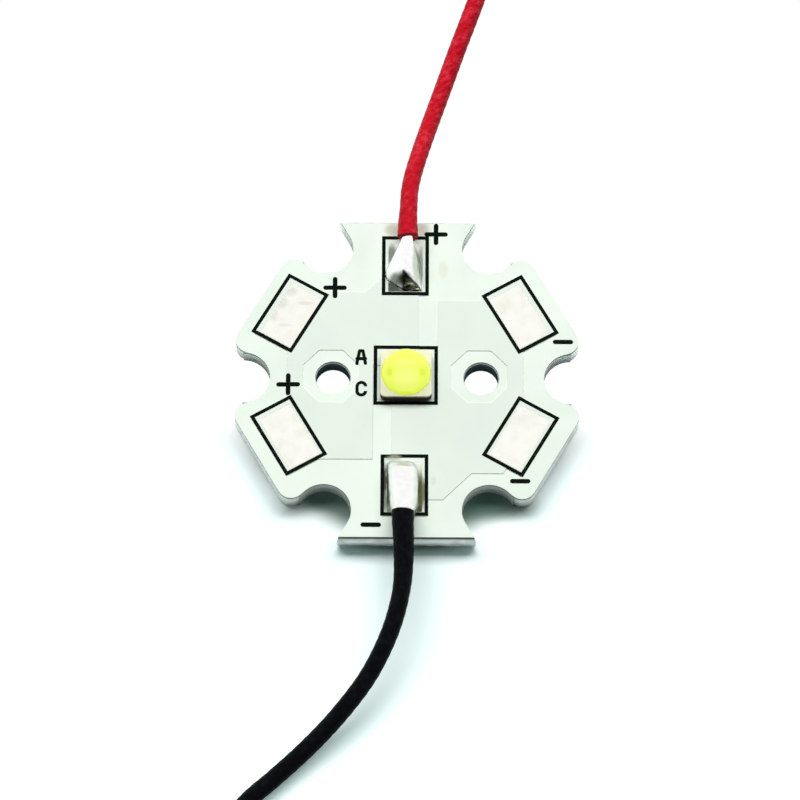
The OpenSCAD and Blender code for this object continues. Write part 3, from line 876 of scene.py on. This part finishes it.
    def light(self) -> None:
        """Hang a long soft lamp above the far side and dim the room on the camera's side."""
        azimuth = math.radians(self.key_azimuth)
        height = math.radians(self.key_elevation)
        out = Vector((
            math.cos(azimuth) * math.cos(height), math.sin(azimuth) * math.cos(height), math.sin(height),
        ))
        lamp = bpy.data.lights.new("soft_box", "AREA")
        lamp.shape = "RECTANGLE"
        lamp.size = self.key_width * MM
        lamp.size_y = self.key_height * MM
        lamp.energy = self.key_power
        box = add_object("soft_box", lamp)
        box.location = out * self.key_distance * MM
        box.rotation_euler = out.to_track_quat("Z", "Y").to_euler()
        box.visible_camera = False
        box.visible_glossy = False
        world = bpy.data.worlds.new("studio")
        world.use_nodes = True
        tree = world.node_tree
        tree.nodes.clear()
        way = add_node(tree, "ShaderNodeTexCoord").outputs["Generated"]
        near = ramp(tree, measure(tree, "DOT_PRODUCT", way, self.near_way), self.near_limits, soft=True)
        low = ramp(tree, measure(tree, "DOT_PRODUCT", way, self.low_way), self.low_limits, soft=True)
        lit = mix(tree, near, self.sky, self.camera_side)
        shown = mix(tree, low, self.white, self.camera_side)
        _, shows = ray_kinds(tree)
        ground = add_node(tree, "ShaderNodeBackground", {"Strength": 1.0, "Color": mix(tree, shows, lit, shown)})
        add_node(tree, "ShaderNodeOutputWorld", {"Surface": ground.outputs["Background"]})
        bpy.context.scene.world = world
        bpy.context.scene.cycles.caustics_refractive = False
        bpy.context.scene.view_settings.view_transform = "Standard"


@dataclass
class Lead:
    """One insulated lead: its run from the joint, its tied coil and its bare end, in millimetres."""

    colour: str
    insulation: WireInsulation
    route: tuple[Triple, ...]
    coil_middle: Pair
    entry: float
    swell_run: float
    groove: float
    swell_r: float
    wire_r: float = 0.525
    real_length: float = 200.0
    strands: int = 7
    strand_lay: float = 4.55
    track: float = 6.51
    pitch: float = 1.06
    low_z: float = 0.675
    turns: int = 5
    gap: float = 56.0
    step: float = 0.17
    tip_r: float = 0.3
    tip_length: float = 4.0
    tip_groove: float = 0.16
    tip_sunk: float = 0.3
    tip_steps: int = 24
    spokes: int = 42
    slant: float = 0.06
    slant_turn: float = 0.6
    smooth_below: float = 50.0

    def run(self) -> list[Vector]:
        """Draw one smooth line through the points of the route.

        Returns:
            Points a step apart, from the joint to the coil.
        """
        knots = [Vector(point) for point in self.route]
        knots = [2 * knots[0] - knots[1]] + knots + [2 * knots[-1] - knots[-2]]
        line: list[Vector] = []
        for a, b, c, d in zip(knots, knots[1:], knots[2:], knots[3:]):
            count = max(2, round((c - b).length / self.step))
            for i in range(count):
                t = i / count
                line.append(0.5 * (
                    2 * b + (c - a) * t + (2 * a - 5 * b + 4 * c - d) * t ** 2 + (3 * b - a - 3 * c + d) * t ** 3
                ))
        return line

    def coil_spot(self, turn: int, angle: float) -> Vector:
        """Middle of the wire in the coil.

        Args:
            turn: Number of the turn, from 0.
            angle: Degrees past the entry within that turn.

        Returns:
            The point, in millimetres in the board's frame.
        """
        share = min(1.0, max(0.0, (angle - 360.0 + self.gap) / self.gap))
        share = share * share * (3 - 2 * share)
        outer = self.track - self.pitch * share
        inner = outer - self.pitch
        if turn == 0:
            reach, rise = outer, 0.0
        elif turn == 1:
            reach, rise = inner, 0.0
        elif turn == 2:
            lean = math.radians(180 - 120 * share)
            reach, rise = inner + self.pitch * math.cos(lean), self.pitch * math.sin(lean)
        else:
            reach = self.track - 1.5 * self.pitch + self.pitch * (share if turn == 3 else 1.0)
            rise = max(
                math.sqrt(max(0.0, self.pitch ** 2 - (reach - under) ** 2)) for under in (outer, inner)
            )
        bearing = math.radians(self.entry + angle)
        return Vector((
            self.coil_middle[0] + reach * math.cos(bearing),
            self.coil_middle[1] + reach * math.sin(bearing),
            self.low_z + rise,
        ))

    def coil(self) -> list[Vector]:
        """Wind the rest of the lead into a low two-layer coil.

        Returns:
            Points a step apart, from the entry to the end of the insulation.
        """
        last = 360.0 * self.turns - self.gap
        count = round(math.radians(last) * (self.track - self.pitch) / self.step)
        line = []
        for i in range(count + 1):
            turn, angle = divmod(last * i / count, 360.0)
            line.append(self.coil_spot(int(turn), angle))
        return line

    def tube(
        self, name: str, line: list[Vector], radius: Callable[[float], float], groove: float, slant: float = 0.0,
    ) -> Piece:
        """Sweep a lobed section along a line, turning with the lay of the strands.

        Args:
            name: Name of the new piece.
            line: Middle line, in millimetres.
            radius: Radius by distance along the line.
            groove: Depth of the grooves between strands, as a share of the radius.
            slant: How far the first cut leans, in millimetres.

        Returns:
            The closed tube.
        """
        ways = [
            (line[min(i + 1, len(line) - 1)] - line[max(i - 1, 0)]).normalized() for i in range(len(line))
        ]
        side = ways[0].orthogonal().normalized()
        verts: list[Vector] = []
        depths: list[float] = []
        travelled = 0.0
        for i, (spot, way) in enumerate(zip(line, ways)):
            if i:
                travelled += (spot - line[i - 1]).length
                side = (ways[i - 1].rotation_difference(way) @ side).normalized()
            other = way.cross(side)
            twist = 2 * math.pi * travelled / self.strand_lay
            for k in range(self.spokes):
                bearing = 2 * math.pi * k / self.spokes
                hollow = 1 - abs(math.cos(self.strands / 2 * (bearing - twist)))
                reach = radius(travelled) * (1 - groove * hollow)
                ring = side * math.cos(bearing) + other * math.sin(bearing)
                lean = slant * math.sin(bearing * 2 + self.slant_turn) if i == 0 else 0.0
                verts.append((spot + ring * reach + way * lean) * MM)
                depths.append(hollow)
        faces = [
            (a * self.spokes + k, a * self.spokes + (k + 1) % self.spokes,
             (a + 1) * self.spokes + (k + 1) % self.spokes, (a + 1) * self.spokes + k)
            for a in range(len(line) - 1) for k in range(self.spokes)
        ]
        faces.append(tuple(reversed(range(self.spokes))))
        faces.append(tuple(range((len(line) - 1) * self.spokes, len(line) * self.spokes)))
        mesh = bpy.data.meshes.new(name)
        mesh.from_pydata(verts, [], faces)
        marks = mesh.attributes.new("groove", "FLOAT", "POINT")
        marks.data.foreach_set("value", depths)
        piece = add_object(name, mesh)
        smooth(piece, self.smooth_below)
        return piece

    def build(self) -> None:
        line = self.run() + self.coil()
        wire = self.tube(
            f"{self.colour}_lead", line,
            lambda far: self.wire_r + self.swell_r * max(0.0, 1 - far / self.swell_run), self.groove, self.slant,
        )
        hand_over(
            wire, f"{self.colour}_insulation", self.insulation.material(),
            f"{self.colour}_wire", f"{self.colour}_coil",
        )
        way = (line[-1] - line[-2]).normalized()
        way.z = 0.0
        bare = [
            line[-1] + way * (self.tip_length * i / self.tip_steps - self.tip_sunk) for i in range(self.tip_steps + 2)
        ]
        tip = self.tube(f"{self.colour}_lead_end", bare, lambda far: self.tip_r, self.tip_groove)
        hand_over(tip, "tinned_strands", STRANDS.material(), f"{self.colour}_wire_tip")


RED_LEAD = Lead(
    "red", RED_PVC,
    (
        (0.0, 8.8, 1.9), (0.0, 9.8, 1.9), (0.05, 10.8, 1.9), (0.1, 11.8, 1.8), (0.3, 13.0, 1.6), (0.7, 14.6, 1.3),
        (1.2, 16.4, 0.9), (1.75, 18.2, 0.65), (2.35, 20.1, 0.53), (3.0, 22.1, 0.53), (3.65, 24.0, 0.53),
        (4.3, 26.0, 0.53), (4.8, 28.0, 0.53), (5.05, 30.0, 0.55), (5.1, 31.6, 0.62), (5.1, 33.0, 0.675),
        (5.1, 34.0, 0.675),
    ),
    coil_middle=(-1.41, 34.0), entry=0.0, swell_run=1.8, groove=0.05, swell_r=0.1,
)
BLACK_LEAD = Lead(
    "black", BLACK_PVC,
    (
        (-0.2, -8.72, 1.9), (-0.2, -9.5, 1.9), (-0.15, -10.6, 1.9), (-0.15, -11.8, 1.9), (-0.2, -13.0, 1.9),
        (-0.4, -14.3, 1.9), (-0.8, -15.8, 1.85), (-1.4, -17.3, 1.7), (-2.2, -18.8, 1.5), (-3.2, -20.2, 1.3),
        (-4.5, -21.7, 0.95), (-6.0, -23.2, 0.65), (-7.5, -24.6, 0.53), (-8.9, -25.9, 0.53), (-9.9, -27.3, 0.53),
        (-10.4, -29.0, 0.53), (-10.5, -31.0, 0.55), (-10.5, -32.6, 0.62), (-10.5, -34.0, 0.675),
        (-10.5, -35.0, 0.675),
    ),
    coil_middle=(-3.99, -35.0), entry=180.0, swell_run=5.0, groove=0.04, swell_r=0.13,
)


@dataclass
class Board:
    """Plate, mask, print and pads, in millimetres."""

    edge_r: float = 0.03
    hole_x: float = 4.33
    hole_r: float = 1.0
    hole_margin: float = 0.02
    web_reach: float = 10.1
    web_half: float = 5.7
    web_step: float = 0.22
    web_edge: float = 0.995
    web_tear: float = 0.035
    web_lip: float = 1.6
    web_grain: float = 1400.0
    web_apart: Triple = (9.0, 4.0, 2.0)
    low_z: Pair = (1.12, 1.15)
    lift: float = 0.035
    relief_top: float = 1.195
    relief_r: float = 0.012
    pad_z: float = 1.19
    pad_edge: float = 0.09
    pad_crown: float = 0.012
    pads: tuple[str, ...] = (
        "back_pad", "back_left_pad", "front_left_pad", "front_pad", "front_right_pad", "back_right_pad",
    )

    def plate(self) -> None:
        """Ease the plate's edges and tear the webs where it was snapped off its panel."""
        piece = merged_copy("base_plate", "star_plate")
        pick(piece, Choice.EDGE, is_sharp)
        bpy.ops.mesh.bevel(offset=self.edge_r * MM, segments=2, affect="EDGES", clamp_overlap=True)
        far = self.web_reach * MM
        for sign in (-1.0, 1.0):
            for i in range(int(2 * self.web_half / self.web_step)):
                across = (-self.web_half + (i + 0.5) * self.web_step) * MM
                pick(piece, Choice.FACE, lambda face: sign * face.calc_center_median().y > self.web_edge * far)
                bpy.ops.mesh.bisect(plane_co=(across, 0.0, 0.0), plane_no=(1.0, 0.0, 0.0))
        mesh = bmesh.from_edit_mesh(piece.data)
        for vert in mesh.verts:
            if abs(vert.co.y) > far:
                spot = Vector((vert.co.x, vert.co.y * 0.2, vert.co.z * 2.0)) * self.web_grain
                vert.co.y += math.copysign(self.web_tear * MM * (noise.noise(spot) - 0.5), vert.co.y)
                vert.co.z += self.web_tear * MM * self.web_lip * noise.noise(spot + Vector(self.web_apart))
        bmesh.update_edit_mesh(piece.data)
        smooth(piece, degrees=32.0)
        flatten_shading(piece)
        piece.data.materials.clear()
        piece.data.materials.append(ALUMINIUM.material())
        piece.data.materials.append(SHADED_HOLE_WALL.material())
        # The pin holes' walls take the second material, painted dark as their shade.
        for face in piece.data.polygons:
            from_hole = math.hypot(abs(face.center.x) - self.hole_x * MM, face.center.y)
            drilled = from_hole < (self.hole_r + self.hole_margin) * MM and abs(face.normal.z) < 0.5
            face.material_index = 1 if drilled else 0
        hand_over(piece, "aluminium_core", None, "base_plate")

    def lift_low(self, piece: Piece) -> None:
        """Lift what lies beside the copper, so that the lacquer steps up no more than thin foil makes it.

        Args:
            piece: Mask or print, in edit mode.
        """
        mesh = bmesh.from_edit_mesh(piece.data)
        for vert in mesh.verts:
            if self.low_z[0] * MM < vert.co.z < self.low_z[1] * MM:
                vert.co.z += self.lift * MM
        bmesh.update_edit_mesh(piece.data)

    def level(self, piece: Piece) -> None:
        """Shade a thin layer so that its level faces take the light evenly right up to their edges.

        Args:
            piece: Mask or print, complete in shape.
        """
        smooth(piece, degrees=18.0)
        bpy.ops.mesh.customdata_custom_splitnormals_clear()
        bpy.ops.object.mode_set(mode="EDIT")
        pick(piece, Choice.FACE, lambda face: abs(face.normal.z) > 0.999)
        bpy.ops.mesh.faces_shade_flat()

    def mask(self) -> None:
        """Round the low steps of the mask over the copper's edges."""
        piece = merged_copy("solder_mask", "mask_lacquer")
        self.lift_low(piece)

        def is_shoulder(edge: bmesh.types.BMEdge) -> bool:
            """Whether an edge is the shoulder of a step over copper.

            Args:
                edge: An edge of the mask.

            Returns:
                Whether it is one.
            """
            low = min((vert.co.z for face in edge.link_faces for vert in face.verts), default=0.0)
            level = {round(vert.co.z / MM, 3) for vert in edge.verts}
            return is_sharp(edge) and low > self.low_z[1] * MM and level == {self.relief_top}

        LOG.info("mask steps: %d edges", pick(piece, Choice.EDGE, is_shoulder))
        bpy.ops.mesh.bevel(offset=self.relief_r * MM, segments=2, affect="EDGES", clamp_overlap=True)
        self.level(piece)
        hand_over(piece, "white_mask", WhiteSolderMask().material(), "solder_mask")

    def legend(self) -> None:
        """Lay the print on the mask."""
        piece = merged_copy("printed_legend", "ink_legend")
        self.lift_low(piece)
        self.level(piece)
        hand_over(piece, "legend_ink", INK.material(), "printed_legend")

    def tin(self) -> None:
        """Crown each tinned pad a little, as levelled tin freezes."""
        for node in self.pads:
            piece = merged_copy(node, f"tinned_{node}")
            pick(piece, Choice.FACE, lambda face: (
                face.normal.z > 0.99 and face.calc_center_median().z > self.pad_z * MM
            ))
            crown(self.pad_edge, self.pad_crown)
            crown(3 * self.pad_edge, 0.5 * self.pad_crown)
            smooth(piece, degrees=30.0)
            flatten_shading(piece)
            finish = {"back_pad": BACK_TIN, "front_pad": FRONT_TIN, "back_left_pad": RUBBED_TIN}.get(node, TIN)
            hand_over(piece, "tin", finish.material(), node)

    def dress(self) -> None:
        """Give the layers that keep their CAD shape their finishes."""
        dress_nodes(EPOXY, "dielectric_layer")
        dress_nodes(COPPER, "anode_copper", "cathode_copper", "thermal_copper")


@dataclass
class LedPackage:
    """Ceramic body, flange and dome of the LED, in millimetres."""

    x: float = -0.06
    y: float = 0.08
    width: float = 3.0
    edge_r: float = 0.02
    corner_r: float = 0.28
    flange_r: float = 0.04
    flange_z: float = 1.67
    dome_z: float = 1.77
    dome_r: float = 1.48
    sink: float = 0.17
    foot: float = 0.04
    root: float = 0.02
    flare: float = 1.01
    phosphor_r: float = 1.42
    phosphor_t: float = 0.14
    phosphor_crown: tuple[Pair, ...] = ((0.06, 0.05), (0.16, 0.08), (0.3, 0.08), (0.4, 0.04))

    def at(self, z: float) -> Triple:
        """Place on the package's axis at this height, in metres."""
        return self.x * MM, self.y * MM, z * MM

    def body(self) -> None:
        """Ease the edges of the ceramic body."""
        piece = merged_copy("led_ceramic", "ceramic_body")
        pick(piece, Choice.EDGE, lambda edge: is_sharp(edge, degrees=60.0))
        bpy.ops.mesh.bevel(offset=self.edge_r * MM, segments=2, affect="EDGES", clamp_overlap=True)
        smooth(piece, degrees=32.0)
        # Its finish is painted near black as shade.
        hand_over(piece, "ceramic", SHADED_CERAMIC.material(), "led_ceramic")

    def lens(self) -> None:
        """Cast the square flange and the dome that stands on it."""
        release()
        thick = (self.dome_z - self.flange_z) * MM
        bpy.ops.mesh.primitive_cube_add(
            size=1.0, location=self.at((self.flange_z + self.dome_z) / 2),
            scale=(self.width * MM, self.width * MM, thick),
        )
        flange = adopt("silicone_lens")
        pick(flange, Choice.EDGE, lambda edge: abs(edge.verts[0].co.z - edge.verts[1].co.z) > thick / 2)
        bpy.ops.mesh.bevel(offset=self.corner_r * MM, segments=8, affect="EDGES")
        high = self.dome_z * MM - SLACK
        pick(flange, Choice.EDGE, lambda edge: is_sharp(edge) and all(vert.co.z > high for vert in edge.verts))
        bpy.ops.mesh.bevel(offset=self.flange_r * MM, segments=3, affect="EDGES")
        release()
        bpy.ops.mesh.primitive_uv_sphere_add(
            segments=96, ring_count=48, radius=self.dome_r * MM, location=self.at(self.dome_z - self.sink),
        )
        dome = adopt("dome")
        bpy.ops.mesh.bisect(
            plane_co=self.at(self.dome_z + self.foot), plane_no=(0.0, 0.0, 1.0), clear_inner=True, use_fill=False,
        )
        pick(dome, Choice.EDGE, lambda edge: len(edge.link_faces) == 1)
        bpy.ops.mesh.extrude_region_move(
            TRANSFORM_OT_translate={"value": (0.0, 0.0, -(self.foot + self.root) * MM)},
        )
        bpy.ops.transform.resize(
            value=(self.flare, self.flare, 1.0), center_override=self.at(self.dome_z - self.root),
        )
        bpy.ops.mesh.edge_face_add()
        turn_outwards()
        release()
        flange.data.materials.append(FLANGE.material())
        dome.data.materials.append(ClearSilicone().material())
        flange.select_set(True)
        dome.select_set(True)
        bpy.context.view_layer.objects.active = flange
        bpy.ops.object.join()
        smooth(flange, degrees=40.0)
        flange.visible_shadow = False
        hand_over(flange, "silicone_lens", None, "led_lens")

    def phosphor(self) -> None:
        """Crown the phosphor disc that lies in the dome."""
        release()
        bpy.ops.mesh.primitive_cylinder_add(
            vertices=96, radius=self.phosphor_r * MM, depth=self.phosphor_t * MM,
            location=self.at(self.flange_z + self.phosphor_t / 2),
        )
        piece = adopt("phosphor_disc")
        pick(piece, Choice.FACE, lambda face: face.normal.z > 0.9)
        for inwards, up in self.phosphor_crown:
            crown(inwards, up)
        smooth(piece, degrees=40.0)
        flatten_shading(piece)
        hand_over(piece, "phosphor", PhosphorLayer().material(), "phosphor_layer")

    def dress(self) -> None:
        """Finish what the package holds and the solder under it."""
        dress_nodes(SOLDER, "led_anode_solder", "led_cathode_solder", "led_thermal_solder")
        dress_nodes(DIE, "led_chip")
        dress_nodes(SILICON, "protection_diode")
        dress_nodes(GOLD, "bond_wires")


class Side(Enum):
    """The two joints, by the sign of the pad that they lie on."""

    POSITIVE = "positive"
    NEGATIVE = "negative"


def raise_grid(name: str, columns: int, rows: int, spot: Callable[[float, float], Vector]) -> Piece:
    """Bend a flat grid into the skin of a joint.

    Args:
        name: Name of the new piece.
        columns: Cells across.
        rows: Cells along.
        spot: Place in millimetres of a point at these shares across and along.

    Returns:
        The open skin, in edit mode with all of it selected.
    """
    release()
    bpy.ops.mesh.primitive_grid_add(x_subdivisions=columns, y_subdivisions=rows, size=1.0)
    piece = bpy.context.active_object
    piece.name = name
    for vert in piece.data.vertices:
        vert.co = spot(vert.co.x + 0.5, vert.co.y + 0.5) * MM
    open_up(piece)
    return piece


def finish_joint(piece: Piece, side: Side, finish: MetalFinish) -> None:
    """Turn the faces of a closed joint outwards, shade it and hand it over.

    Args:
        piece: The closed joint, in edit mode.
        side: Which of the joints it is.
        finish: Finish of the solder's skin.
    """
    turn_outwards()
    smooth(piece, degrees=55.0)
    hand_over(piece, "solder", finish.material(), f"{side.value}_solder_joint")


@dataclass(frozen=True)
class Station:
    """One cross-section of a solder joint: where its ridge and feet lie and how full its flanks are."""

    y: float
    ridge_x: float
    left_x: float
    right_x: float
    top_z: float
    left_full: float
    right_full: float

    def towards(self, other: "Station", share: float) -> "Station":
        """Cross-section this share of the way to another one."""
        pairs = zip(vars(self).values(), vars(other).values())
        return Station(*(a + (b - a) * share for a, b in pairs))


@dataclass
class SolderJoint:
    """A lump of solder that holds a lead's strands on its pad, in millimetres."""

    side: Side
    stations: tuple[Station, ...]
    base_z: float = 1.195
    columns: int = 44
    rows: int = 64
    lump: float = 0.02
    lump_size: float = 0.4
    lump_from: float = 0.03
    lump_over: float = 0.3
    join_reach: float = 0.001
    ease: int = 2

    def section(self, y: float) -> Station:
        """Cross-section at a distance along the board.

        Args:
            y: Place along the board.

        Returns:
            The section there.
        """
        for near, far in zip(self.stations, self.stations[1:]):
            if near.y >= y >= far.y:
                return near.towards(far, (near.y - y) / (near.y - far.y))
        return self.stations[-1]

    def spot(self, across: float, along: float) -> Vector:
        """Place of one point of the joint's skin.

        Args:
            across: From 0 at the right foot to 1 at the left foot.
            along: From 0 in the first row to 1 in the last, which close the ends.

        Returns:
            The point, in millimetres.
        """
        across = min(1.0, max(0.0, across))
        row = round(along * self.rows)
        first, last = self.stations[0].y, self.stations[-1].y
        share = min(1.0, max(0.0, (row - 1) / (self.rows - 2)))
        cut = self.section(first + (last - first) * share)
        if row in (0, self.rows):
            return Vector((cut.ridge_x, cut.y, self.base_z))
        bearing = math.pi * across
        full, reach = (cut.right_full, cut.right_x) if across < 0.5 else (cut.left_full, cut.left_x)
        level = abs(math.cos(bearing)) ** (2 / full)
        rise = math.sin(bearing) ** (2 / full)
        return Vector((
            cut.ridge_x + (reach - cut.ridge_x) * level, cut.y, self.base_z + (cut.top_z - self.base_z) * rise,
        ))

    def build(self, finish: MetalFinish) -> None:
        """Shape a sheet over the sections, close it, ease it and pucker it.

        Args:
            finish: Finish of the solder's skin.
        """
        piece = raise_grid(f"{self.side.value}_solder", self.columns, self.rows, self.spot)
        bpy.ops.mesh.remove_doubles(threshold=self.join_reach * MM)
        mesh = bmesh.from_edit_mesh(piece.data)
        for vert in mesh.verts:
            vert.select_set(not vert.is_boundary)
        bmesh.update_edit_mesh(piece.data)
        bpy.ops.mesh.vertices_smooth(factor=0.5, repeat=self.ease)
        mesh = bmesh.from_edit_mesh(piece.data)
        mesh.normal_update()
        for vert in mesh.verts:
            high = (vert.co.z - (self.base_z + self.lump_from) * MM) / (self.lump_over * MM)
            high = min(1.0, max(0.0, high))
            spot = vert.co / (self.lump_size * MM)
            vert.co += vert.normal * high * self.lump * MM * noise.noise(spot)
        bmesh.update_edit_mesh(piece.data)
        pick(piece, Choice.EDGE, lambda edge: edge.is_boundary)
        bpy.ops.mesh.edge_face_add()
        finish_joint(piece, self.side, finish)


@dataclass(frozen=True)
class Flank:
    """One flat flank of a solder joint: a point on it and how steeply it climbs along X and Y."""

    x: float
    y: float
    z: float
    climb_x: float
    climb_y: float

    def height(self, x: float, y: float) -> float:
        """Height of the flank above the plate's underside at a place on the board."""
        return self.z + self.climb_x * (x - self.x) + self.climb_y * (y - self.y)


@dataclass
class PeakedJoint:
    """A lump of solder that the lead has drawn up to a ridge with flat flanks, in millimetres."""

    side: Side
    flanks: tuple[Flank, ...]
    x_span: Pair
    y_span: Pair
    base_z: float = 1.195
    columns: int = 90
    rows: int = 130
    blend: float = 0.045
    lump: float = 0.02
    lump_size: float = 0.3

    def height(self, x: float, y: float) -> float:
        """Height of the solder's skin: the lowest flank, with the edges between flanks eased.

        Args:
            x: Place across the board.
            y: Place along the board.

        Returns:
            The height above the plate's underside.
        """
        heights = [flank.height(x, y) for flank in self.flanks]
        low = min(heights)
        eased = low - self.blend * math.log(sum(math.exp((low - high) / self.blend) for high in heights))
        return eased + self.lump * noise.noise(Vector((x, y, eased)) / self.lump_size)

    def spot(self, across: float, along: float) -> Vector:
        """Place of one point of the skin.

        Args:
            across: From 0 at the left to 1 at the right.
            along: From 0 at the front to 1 at the back.

        Returns:
            The point, in millimetres.
        """
        x = self.x_span[0] + across * (self.x_span[1] - self.x_span[0])
        y = self.y_span[0] + along * (self.y_span[1] - self.y_span[0])
        return Vector((x, y, self.height(x, y)))

    def build(self, finish: MetalFinish) -> None:
        """Raise a sheet over the flanks and cut it off at the pad.

        Args:
            finish: Finish of the solder's skin.
        """
        piece = raise_grid(f"{self.side.value}_solder", self.columns, self.rows, self.spot)
        bpy.ops.mesh.bisect(
            plane_co=(0.0, 0.0, self.base_z * MM), plane_no=(0.0, 0.0, 1.0), clear_inner=True, use_fill=True,
        )
        finish_joint(piece, self.side, finish)


POSITIVE_JOINT = PeakedJoint(
    Side.POSITIVE,
    (
        Flank(-0.28, 6.52, 2.33, 0.95, -0.05),
        Flank(-0.28, 6.52, 2.33, -0.55, 0.45),
        Flank(-0.28, 6.52, 2.33, 0.0, 1.2),
        Flank(-0.28, 6.52, 2.33, 0.9, 1.2),
        Flank(-0.52, 8.75, 1.2, 4.0, -1.64),
        Flank(-1.34, 6.75, 1.2, 2.2, 0.36),
        Flank(0.52, 8.75, 1.2, -4.0, -0.731),
        Flank(0.84, 7.0, 1.2, -4.0, 0.0),
        Flank(0.0, 8.8, 1.2, 0.0, -8.0),
        Flank(0.0, 7.0, 2.38, 0.0, 0.0),
    ),
    x_span=(-1.5, 1.0), y_span=(5.45, 8.9),
)
NEGATIVE_JOINT = SolderJoint(
    Side.NEGATIVE,
    (
        Station(-5.27, -0.3, -1.0, 0.12, 1.22, 2.0, 2.0),
        Station(-5.36, -0.3, -1.15, 0.42, 1.5, 2.0, 2.0),
        Station(-5.6, -0.27, -1.18, 0.63, 1.9, 2.2, 2.2),
        Station(-6.0, -0.25, -1.16, 0.71, 2.2, 2.4, 2.4),
        Station(-6.7, -0.24, -1.13, 0.74, 2.34, 2.6, 2.5),
        Station(-7.4, -0.22, -1.1, 0.74, 2.38, 2.5, 2.4),
        Station(-8.1, -0.2, -1.02, 0.69, 2.38, 2.4, 2.4),
        Station(-8.5, -0.2, -0.92, 0.58, 2.36, 2.3, 2.3),
        Station(-8.72, -0.2, -0.8, 0.44, 2.3, 2.2, 2.2),
    ),
)


def main() -> None:
    """Build every piece in order and set the scene."""
    logging.basicConfig(level=logging.INFO, format="%(message)s")
    studio = Studio()
    studio.place_camera()
    for lead in (RED_LEAD, BLACK_LEAD):
        lead.build()
    board = Board()
    board.plate()
    board.mask()
    board.legend()
    board.tin()
    board.dress()
    package = LedPackage()
    package.body()
    package.lens()
    package.phosphor()
    package.dress()
    POSITIVE_JOINT.build(BACK_SOLDER)
    NEGATIVE_JOINT.build(FRONT_SOLDER)
    dress_nodes(STRANDS, "positive_strands", "negative_strands")
    dress_nodes(TIE_PAPER, "red_coil_tie", "black_coil_tie")
    studio.lay_floor()
    studio.light()


if __name__ == "__main__":
    main()
